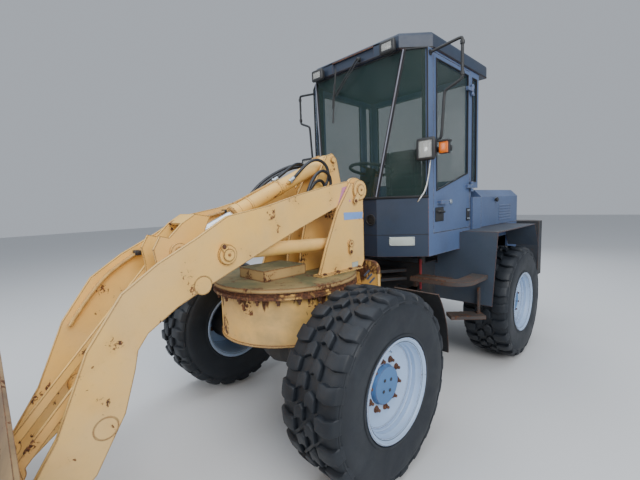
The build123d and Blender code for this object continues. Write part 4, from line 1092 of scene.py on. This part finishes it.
class LOADER_OT_tower(bpy.types.Operator):
    """Adds the keepers, pin ends, bolts, films and valve blocks of the slewing tower"""

    bl_idname = "loader.tower"
    bl_label = "Fit the tower"

    def execute(self, context):
        keepers = [plate(stadium(BOOM_PIN, BOOM_BOLT, 24), "X", CHEEK_OUT + 14.3, BOOM_KEEPER, 1.5),
                   plate(stadium(LIFT_BASE, BASE_BOLT, 20), "X", CHEEK_OUT + 8.3, BASE_KEEPER, 1.5)]
        fit(mirrored(keepers), "tower_keepers", "turntable", "tower")
        ends = [pin_end(BOOM_KEEPER, BOOM_PIN, 41), pin_end(BASE_KEEPER, LIFT_BASE, 27)]
        fit(mirrored(ends), "tower_pins", "turntable", "tower", 30)
        heads = [bolt(at(x, *place), X, 10)
                 for x, place in ((BOOM_KEEPER, BOOM_BOLT), (BASE_KEEPER, BASE_BOLT))]
        heads += [bolt(at(CHEEK_OUT + 9, y, FOOT_TOP), Z, 13) for y in (110, 240, 370, 470)]
        fit(mirrored(heads), "tower_bolts", "turntable", "rust", 30)
        films = [
            ("tower_blue_film", [(324, 1468), (536, 1466), (532, 1415), (327, 1414)], "blue_film"),
            ("tower_spot", [on_circle((394, 1549), 9, math.pi * i / 6) for i in range(12)], "purple_film"),
            ("tower_white_film", [(400, 1064), (470, 1064), (470, 1102), (400, 1102)], "white_film"),
        ]
        for name, outline, material in films:
            piece = plate(outline, "X", CHEEK_OUT + 0.3, CHEEK_OUT + 0.3 + FILM, 0)
            fit(piece, name, "turntable", material)
        blocks = [block(low, high, 4) for low, high in VALVES]
        fit(blocks, "valve_blocks", "turntable", "black")
        fit(valve_spools(), "valve_spools", "turntable", "zinc", 30)
        return {"FINISHED"}


# Front frame

DRUM_Y, DRUM_LOW, RING_LOW, RING_BOLTS_R = 56, 669, 975, 492
STRIPE_FACE, STRIPE_STEPS = 665, (0, 26, 52)
STRIPE = [(286, 897), (297, 886), (350, 938), (339, 949)]


class LOADER_OT_front(bpy.types.Operator):
    """Adds the ring bolts, the drum's lower rim and the film stripes of the front frame"""

    bl_idname = "loader.front"
    bl_label = "Fit the front frame"

    def execute(self, context):
        count = sizes().ring_bolts
        centre = at(0, DRUM_Y, 0)
        place = at(RING_BOLTS_R, DRUM_Y, RING_LOW)
        hanging = join([turned(place, -Z, [(0, 0), (0, 15), (17, 15), (19, 12), (19, 0)], 6),
                        turned(place, -Z, [(0, 0), (0, 8), (34, 8), (36, 6), (36, 0)], 12)])
        heads = copies(hanging, [about("Z", 360 * i / count, centre) for i in range(count)])
        fit(heads, "ring_bolts", "front", "rust", 30)
        # The drum's lower rim takes the drum's paint, with its painted shade
        rim = turned(at(0, DRUM_Y, DRUM_LOW), Z,
                     [(0, 0), (0, 474), (2, 476), (14, 476), (16, 474), (16, 0)], 96)
        fit(rim, "drum_rim", "front", "drum", 30)
        stripes = [plate([(x - step, z + step) for x, z in STRIPE], "Y", STRIPE_FACE - 0.3 - FILM,
                         STRIPE_FACE - 0.3, 0) for step in STRIPE_STEPS]
        fit(stripes, "front_stripes", "front", "stripe_film")
        return {"FINISHED"}


# Cab

FACET_X, FACET_Y, CORNER_X, CORNER_Y = 293, 774, 621, 1009
SILL_Z, ROOF_LOW, ROOF_TOP = 1558, 2676, 2800
# the roof's front edge and half its width there, its front corners and its rear edge
ROOF_FRONT, ROOF_FRONT_HALF, ROOF_CORNER, ROOF_REAR = 881, 450, 1063, 2121
GUTTER_Z = 2684
SCREEN_LEAN = 131
TOP_X = FACET_X + SCREEN_LEAN * (CORNER_X - FACET_X) / (CORNER_Y - FACET_Y)
TOP_Y = FACET_Y + SCREEN_LEAN
# behind the front axle and above the ground round the side and quarter windows, and across and above the
# ground round the rear window
SIDE_WINDOW = [(1135, 1606), (1721, 1763), (1721, 2620), (1135, 2620)]
QUARTER_WINDOW = [(1816, 1692), (1910, 1692), (1910, 2620), (1816, 2620)]
REAR_WINDOW = [(-537, 1712), (537, 1712), (537, 2620), (-537, 2620)]


def on_facet(obj):
    """Moves a piece from the upright plane through the front axle to the cab's left front facet."""
    turn = Matrix.Rotation(math.atan2(CORNER_Y - FACET_Y, CORNER_X - FACET_X), 4, "Z")
    return moved(obj, Matrix.Translation(at(FACET_X, FACET_Y, 0)) @ turn @ Matrix.Translation(-at(0, 0, 0)))


def roof():
    """The cab's roof with its rounded top and the recess over the windscreen."""
    side = CORNER_X + 10
    plan = [(-ROOF_FRONT_HALF, ROOF_FRONT), (ROOF_FRONT_HALF, ROOF_FRONT), (side, ROOF_CORNER),
            (side, ROOF_REAR), (-side, ROOF_REAR), (-side, ROOF_CORNER)]
    middle = tuple(at(-25, ROOF_FRONT, (ROOF_LOW + ROOF_TOP) / 2))
    obj = plate(plan, "Z", ROOF_LOW + 0.5, ROOF_TOP - 0.5, 0)
    pick(obj, "FACE", lambda face: face.normal.y < -0.99)
    bpy.ops.mesh.inset(thickness=0.018)
    bpy.ops.transform.resize(value=(0.52, 1, 1), center_override=middle)
    extrude((0, 0.022, 0))
    bpy.ops.transform.resize(value=(0.97, 1, 0.8), center_override=middle)
    leave_edit()
    top = mm(ROOF_TOP - 2)
    pick(obj, "EDGE", lambda rim: all(obj.data.vertices[v].co.z > top for v in rim.vertices))
    bevel(0.03, 4)
    return recalculate(obj)


class LOADER_OT_roof(bpy.types.Operator):
    """Makes the cab's roof"""

    bl_idname = "loader.roof"
    bl_label = "Make the roof"

    def execute(self, context):
        # The roof takes the cab paint darkened as painted shade
        piece = fit(roof(), "cab_roof_detail", "rear", "shaded_cab", 30)
        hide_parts("cab_roof")
        plan = [(-632, 1066), (-452, 878), (452, 878), (632, 1066), (632, 2118), (-632, 2118)]
        gutter = line([(x, y, GUTTER_Z) for x, y in plan], 4, closed=True)
        fit(gutter, "roof_gutter", "rear", "seal")
        return {"FINISHED"}


class LOADER_OT_cab_trim(bpy.types.Operator):
    """Adds the window rubber, sill, corner strips, vent and blank plate of the cab"""

    bl_idname = "loader.cab_trim"
    bl_label = "Trim the cab"

    def execute(self, context):
        seal = sizes().seal * 1000
        low, high = SILL_Z + 10, ROOF_LOW - 8
        front = line([(-FACET_X + 8, FACET_Y - 2, low), (FACET_X - 8, FACET_Y - 2, low),
                      (TOP_X - 8, TOP_Y - 2, high), (-TOP_X + 8, TOP_Y - 2, high)], seal, closed=True)
        corner = line([(FACET_X + 12, FACET_Y + 5, low), (CORNER_X - 4, CORNER_Y - 4, low),
                       (CORNER_X - 4, CORNER_Y - 4, high), (TOP_X + 12, TOP_Y + 5, high)], seal, closed=True)
        quarter = line([(CORNER_X, y, z) for y, z in QUARTER_WINDOW], seal, closed=True)
        right = line([(-CORNER_X, y, z) for y, z in SIDE_WINDOW], seal, closed=True)
        rear = line([(x, 1961, z) for x, z in REAR_WINDOW], seal, closed=True)
        seals = [front, mirrored([corner, quarter]), right, rear]
        fit(seals, "window_seals", "rear", "seal")
        front_plan = [(-CORNER_X, CORNER_Y), (-FACET_X, FACET_Y), (FACET_X, FACET_Y), (CORNER_X, CORNER_Y)]
        sill, seam = (line([(x, y, z) for x, y in front_plan], radius)
                      for z, radius in ((SILL_Z + 4, 10), (1265, 2.2)))
        fit([sill, seam], "cab_sill", "rear", "seal")
        strip = line([(FACET_X + 2, FACET_Y - 7, SILL_Z + 14), (TOP_X + 2, TOP_Y - 7, ROOF_LOW - 6)], 5)
        fit(mirrored(strip), "corner_strips", "rear", "grey")
        x, z = 233, 1388
        vent = turned(at(x, FACET_Y, z), -Y,
                      [(0, 0), (0, 48), (5, 48), (7, 44), (7, 38), (2, 35), (2, 0)], 32)
        bars = [block((x - half, FACET_Y - 6, z + up - 3), (x + half, FACET_Y - 2, z + up + 3), 1)
                for up, half in ((-24, 24), (-12, 32), (0, 34), (12, 32), (24, 24))]
        fit([vent] + bars, "cab_vent", "rear", "plastic")
        sheet = on_facet(block((96, -4, 1177), (296, -1, 1248), 1))
        fit(sheet, "blank_plate", "rear", "white_film")
        heads = [on_facet(bolt(at(u, -4, z), -Y, 5)) for u in (104, 288) for z in (1185, 1240)]
        fit(heads, "plate_bolts", "rear", "zinc", 30)
        return {"FINISHED"}


class LOADER_OT_door(bpy.types.Operator):
    """Adds the seal, handle, latch and hinge leaves of the cab door"""

    bl_idname = "loader.door"
    bl_label = "Fit the door"

    def execute(self, context):
        seal = line([(CORNER_X, y, z) for y, z in SIDE_WINDOW], sizes().seal * 1000, closed=True)
        fit(seal, "door_seal", "door", "seal")
        latch = block((CORNER_X, 1112, 1357), (CORNER_X + 7, 1251, 1471), 5)
        pull = line([(CORNER_X + 4, 1130, 1440), (CORNER_X + 30, 1134, 1440), (CORNER_X + 34, 1180, 1436),
                     (CORNER_X + 30, 1228, 1432), (CORNER_X + 4, 1232, 1432)], 9, smooth=True, sides=12)
        hinge = block((CORNER_X, 1700, 1331), (CORNER_X + 10, 1758, 1445), 4)
        fit([latch, pull, hinge], "door_latch", "door", "plastic")
        lock = turned(at(CORNER_X, 1381, 1514), X,
                      [(0, 0), (0, 21), (9, 21), (12, 17), (12, 9), (8, 8), (8, 0)], 24)
        heads = [bolt(at(CORNER_X + 10, y, z), X, 7) for y in (1716, 1742) for z in (1350, 1426)]
        fit([lock] + heads, "door_lock", "door", "zinc", 30)
        return {"FINISHED"}


class LOADER_OT_wiper(bpy.types.Operator):
    """Adds the wiper with its motor cover over the windscreen"""

    bl_idname = "loader.wiper"
    bl_label = "Fit the wiper"

    def execute(self, context):
        motor = turned(at(69, ROOF_FRONT, 2713), -Y, [(0, 0), (0, 19), (24, 17), (30, 12), (30, 0)], 20)
        arms = [line([(x + 69, 846, 2713), (x - 72, 844, 2590), (x - 203, 848, 2474)], 6) for x in (0, 34)]
        blade = line([(-176, 852, 2700), (-203, 854, 2474), (-222, 846, 2250)], 7, smooth=True)
        holder = line([(-190, 846, 2580), (-203, 842, 2474), (-214, 842, 2370)], 8)
        fit([motor] + arms + [blade, holder], "wiper", "rear", "plastic")
        return {"FINISHED"}


# Lamps, mirror arms and exhaust

def lamp_housing(low, high, back=0.62):
    """A lamp's housing that narrows to the back and is open at the front, where the glass lies in its rim."""
    obj = block(low, high, 18, 3)
    middle = at(*[(l + h) / 2 for l, h in zip(low, high)])
    depth = mm(high[1] - low[1])
    for vertex in obj.data.vertices:
        share = max(0.0, (vertex.co.y - middle.y) / depth + 0.1)
        factor = 1 - (1 - back) * min(1.0, share / 0.6)
        vertex.co.x = middle.x + (vertex.co.x - middle.x) * factor
        vertex.co.z = middle.z + (vertex.co.z - middle.z) * factor
    pick(obj, "FACE", lambda face: face.normal.y < -0.999)
    bpy.ops.mesh.inset(thickness=0.004)
    extrude((0, 0.012, 0))
    leave_edit()
    return obj


def lens(low, high):
    """A pressed glass that bulges to the front."""
    obj = block(low, high, 3, 1)
    pick(obj, "FACE", lambda face: face.normal.y < -0.9)
    bpy.ops.mesh.inset(thickness=0.012)
    bpy.ops.transform.translate(value=(0, -0.004, 0))
    leave_edit()
    return obj


class LOADER_OT_lamps(bpy.types.Operator):
    """Makes the head, work, side and tail lamps and the head lamps' cables"""

    bl_idname = "loader.lamps"
    bl_label = "Make the lamps"

    def execute(self, context):
        x = CORNER_X
        housings = [lamp_housing((x - 45, 895, 1828), (x + 108, 985, 1996)),
                    lamp_housing((312, 812, 2652), (450, 880, 2752), 0.7)]
        rims = [block((x + 116, 950, 1868), (x + 189, 985, 1954), 5),
                block((x + 112, 924, 1950), (x + 196, 992, 1966), 6),
                line([(x + 30, 1000, 1930), (x + 30, 1000, 1870)], 8)]
        brackets = [block((x, 1015, 1890), (x + 179, 1035, 1930), 3),
                    block((x + 19, 985, 1890), (x + 59, 1015, 1930), 3),
                    block((x + 139, 985, 1890), (x + 169, 1015, 1930), 3),
                    block((366, 868, 2690), (396, 894, 2720), 2)]
        shells = mirrored(housings + rims + brackets)
        fit(shells, "lamp_housings", "rear", "plastic")
        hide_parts("lamps")
        cable = line([(x + 30, 990, 1890), (x + 26, 985, 1800), (x + 14, 980, 1700), (x - 12, 975, 1600),
                      (x - 50, 957, 1545), (x - 69, 962, 1522)], 6, smooth=True)
        fit(mirrored(cable), "lamp_cables", "rear", "reflector", 60)
        glasses = [lens((x - 26, 899, 1847), (x + 89, 905, 1977)), lens((331, 816, 2671), (431, 821, 2733))]
        fit(mirrored(glasses), "lamp_glasses", "rear", "lens")
        bowls = [block((x - 33, 909, 1840), (x + 96, 912, 1984), 1),
                 block((324, 824, 2664), (438, 827, 2740), 1),
                 turned(at(x + 31, 909, 1912), -Y, [(0, 58), (0.5, 44), (1, 20), (2.5, 14), (2.5, 0)], 24)]
        fit(mirrored(bowls), "lamp_reflectors", "rear", "reflector")
        side = lens((x + 122, 932, 1871), (x + 186, 950, 1951))
        fit(mirrored(side), "side_lamps", "rear", "amber")
        tails = mirrored(block((618, 3290, 1008), (762, 3302, 1092), 4))
        fit(tails, "tail_lamp_bodies", "rear", "plastic")
        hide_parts("tail_lamps")
        for name, inner, outer, colour in (("tail_lenses", 624, 706, "red"),
                                           ("turn_lenses", 710, 756, "amber")):
            fit(mirrored(block((inner, 3302, 1014), (outer, 3314, 1086), 4)), name, "rear", colour)
        return {"FINISHED"}


# across and above the ground, in the upright plane that the left mirror arm lies in
MIRROR_Y, MIRROR_X = 1040, 867
MIRROR_ROUTE = [(622, 2640), (740, 2654), (850, 2668), (MIRROR_X, 2660), (MIRROR_X, 2600), (MIRROR_X, 2420),
                (MIRROR_X, 2392), (850, 2378), (750, 2340), (733, 2322), (722, 2150), (712, 2010),
                (700, 1992), (622, 1960)]


class LOADER_OT_mirror_arms(bpy.types.Operator):
    """Makes the two bent mirror arms, which carry no mirrors"""

    bl_idname = "loader.mirror_arms"
    bl_label = "Make the mirror arms"

    def execute(self, context):
        tube = line([(x, MIRROR_Y, z) for x, z in MIRROR_ROUTE], 11, smooth=True, sides=16)
        feet = [turned(at(CORNER_X, MIRROR_Y, z), X, [(0, 0), (0, 22), (5, 22), (6, 18), (6, 0)], 20)
                for z in (2640, 1960)]
        clamps = [turned(at(MIRROR_X, MIRROR_Y, z), Z, [(0, 11), (0, 16), (22, 16), (22, 11)], 20)
                  for z in (2410, 2620)]
        arms = fit(mirrored([tube] + feet + clamps), "mirror_arms", "rear", "plastic")
        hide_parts("mirrors")
        return {"FINISHED"}


BODY_HALF, BODY_TOP = 650, 1615
STEP_SPAN = (392, 700)


class LOADER_OT_hood(bpy.types.Operator):
    """Makes the exhaust and adds the louvres and knobs of the engine hood"""

    bl_idname = "loader.hood"
    bl_label = "Fit the hood"

    def execute(self, context):
        pipe = turned(at(-430, 2650, BODY_TOP), Z,
                      [(0, 0), (0, 56), (8, 56), (10, 43), (276, 42), (279, 40), (277, 37), (190, 36),
                       (190, 0)], 40)
        piece = fit(pipe, "exhaust_detail", "hood", "rust", 30)
        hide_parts("exhaust")
        slats = []
        for z in range(1290, 1470, 30):
            slat = block((BODY_HALF, 2460, z), (BODY_HALF + 7, 2820, z + 16), 3)
            slats.append(moved(slat, about("Y", -12, at(BODY_HALF, 0, z + 8))))
        fit(mirrored(slats), "hood_louvres", "hood", "cab")
        knob = turned(at(BODY_HALF, 2344, 1512), X,
                      [(0, 0), (0, 12), (12, 10), (14, 22), (26, 24), (31, 18), (31, 0)], 24)
        fit(mirrored(knob), "hood_knobs", "hood", "plastic")
        return {"FINISHED"}


class LOADER_OT_steps(bpy.types.Operator):
    """Adds the grip teeth of the steps and the red lock bar"""

    bl_idname = "loader.steps"
    bl_label = "Fit the steps"

    def execute(self, context):
        count, (first, last) = sizes().step_teeth, STEP_SPAN
        places = [(first + (last - first) * i / (count - 1), y) for i in range(count) for y in (1121, 1238)]
        teeth = [block((x - 4, y, 872), (x + 4, y + 10, 884), 1.5, 1) for x, y in places]
        fit(mirrored(teeth), "step_teeth", "rear", "step")
        bar = block((400, 1241, 743), (418, 1259, 1015), 4)
        fit(bar, "lock_bar", "rear", "red_paint")
        return {"FINISHED"}


# Seat

VOXEL, PRESSURE, REACH, FRAMES = 0.012, 4.0, 0.009, 20
# how deep and how wide the long and the cross seams are pressed in, in metres
LONG_SEAM, CROSS_SEAM = (0.012, 0.022), (0.007, 0.018)


def swell(obj):
    """Swells a closed piece by a cloth simulation, and lets no point move further than the reach.
    """
    only(obj)
    remesh = obj.modifiers.new("Remesh", "REMESH")
    remesh.mode = "VOXEL"
    remesh.voxel_size = VOXEL
    bpy.ops.object.modifier_apply(modifier=remesh.name)
    start_places = [vertex.co.copy() for vertex in obj.data.vertices]
    cloth_settings = obj.modifiers.new("Cloth", "CLOTH")
    cloth_settings.settings.use_pressure = True
    cloth_settings.settings.uniform_pressure_force = PRESSURE
    cloth_settings.settings.effector_weights.gravity = 0
    scene = bpy.context.scene
    for number in range(1, FRAMES + 1):
        scene.frame_set(number)
    bpy.ops.object.modifier_apply(modifier=cloth_settings.name)
    scene.frame_set(1)
    for vertex, start in zip(obj.data.vertices, start_places):
        step = vertex.co - start
        if step.length > REACH:
            vertex.co = start + step.normalized() * REACH
    return obj


def channels(obj, axis, places, depth, width):
    """Presses seams into a cushion across axis 0, 1 or 2, deepest at each place."""
    for vertex in obj.data.vertices:
        for place in places:
            off = abs(vertex.co[axis] - place)
            if off < width:
                press = depth * (math.cos(math.pi * off / width) + 1) / 2
                vertex.co -= vertex.normal * press


def cushion(low, high, lean=0.0):
    """A thick block with round edges that leans back by some degrees."""
    obj = block(low, high, 34, 4)
    if lean:
        moved(obj, about("X", lean, at(0, low[1], low[2])))
    return obj


class LOADER_OT_seat(bpy.types.Operator):
    """Makes the padded seat cushion and back with their seams"""

    bl_idname = "loader.seat"
    bl_label = "Make the seat"

    def execute(self, context):
        base = swell(cushion((-236, 1292, 1392), (236, 1690, 1488)))
        channels(base, 0, [-0.15, 0.15], *LONG_SEAM)
        channels(base, 1, [at(0, y, 0).y for y in (1400, 1500, 1600)], *CROSS_SEAM)
        back = swell(cushion((-218, 1622, 1512), (218, 1690, 2046), 4.6))
        channels(back, 0, [-0.14, 0.14], *LONG_SEAM)
        channels(back, 2, [1.66, 1.79, 1.92], *CROSS_SEAM)
        for piece, name in ((base, "seat_cushion"), (back, "seat_back")):
            only(piece)
            smooth = piece.modifiers.new("Smooth", "SUBSURF")
            smooth.levels = smooth.render_levels = 1
            bpy.ops.object.modifier_apply(modifier=smooth.name)
            fit(piece, name, "rear", "cloth", 80)
            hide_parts("seat_pads")
        return {"FINISHED"}


class LOADER_OT_controls(bpy.types.Operator):
    """Adds the lever with its knob and boot and the display panel in the cab"""

    bl_idname = "loader.controls"
    bl_label = "Fit the controls"

    def execute(self, context):
        stick = line([(-400, 1260, 1560), (-398, 1256, 1640), (-396, 1250, 1690)], 7)
        knob = turned(at(-396, 1250, 1688), Z,
                      [(0, 0), (0, 13), (18, 19), (44, 20), (62, 15), (68, 7), (68, 0)], 20)
        boot = turned(at(-400, 1260, 1560), Z,
                      [(0, 0), (0, 40), (8, 38), (14, 28), (22, 30), (30, 20), (38, 9), (38, 0)], 24)
        panel = moved(block((-60, 1000, 1700), (60, 1020, 1770), 6), about("X", -20, at(0, 1010, 1735)))
        fit([stick, knob, boot, panel], "cab_controls", "rear", "plastic")
        return {"FINISHED"}


OPERATORS = (LOADER_OT_stage, LOADER_OT_finishes, LOADER_OT_wheels, LOADER_OT_boom, LOADER_OT_cylinders,
             LOADER_OT_tower, LOADER_OT_hoses, LOADER_OT_front, LOADER_OT_roof, LOADER_OT_cab_trim,
             LOADER_OT_door, LOADER_OT_wiper, LOADER_OT_lamps, LOADER_OT_mirror_arms, LOADER_OT_hood,
             LOADER_OT_steps, LOADER_OT_seat, LOADER_OT_controls)


class LOADER_PT_panel(bpy.types.Panel):
    """Lists the loader's sizes, colours and steps in the sidebar"""

    bl_idname = "LOADER_PT_panel"
    bl_label = "Wheel loader"
    bl_space_type = "VIEW_3D"
    bl_region_type = "UI"
    bl_category = "Loader"

    def draw(self, context):
        for settings in (context.scene.loader_sizes, context.scene.loader_colours):
            column = self.layout.column()
            for name in settings.__annotations__:
                column.prop(settings, name)
        column = self.layout.column()
        for operator in OPERATORS:
            column.operator(operator.bl_idname)


CLASSES = (LoaderSizes, LoaderColours) + OPERATORS + (LOADER_PT_panel,)


def register():
    for item in CLASSES:
        bpy.utils.register_class(item)
    bpy.types.Scene.loader_sizes = bpy.props.PointerProperty(type=LoaderSizes)
    bpy.types.Scene.loader_colours = bpy.props.PointerProperty(type=LoaderColours)


def unregister():
    del bpy.types.Scene.loader_colours
    del bpy.types.Scene.loader_sizes
    for item in reversed(CLASSES):
        bpy.utils.unregister_class(item)


def main():
    register()
    for operator in OPERATORS:
        getattr(bpy.ops.loader, operator.bl_idname.partition(".")[2])()


if __name__ == "__main__":
    main()
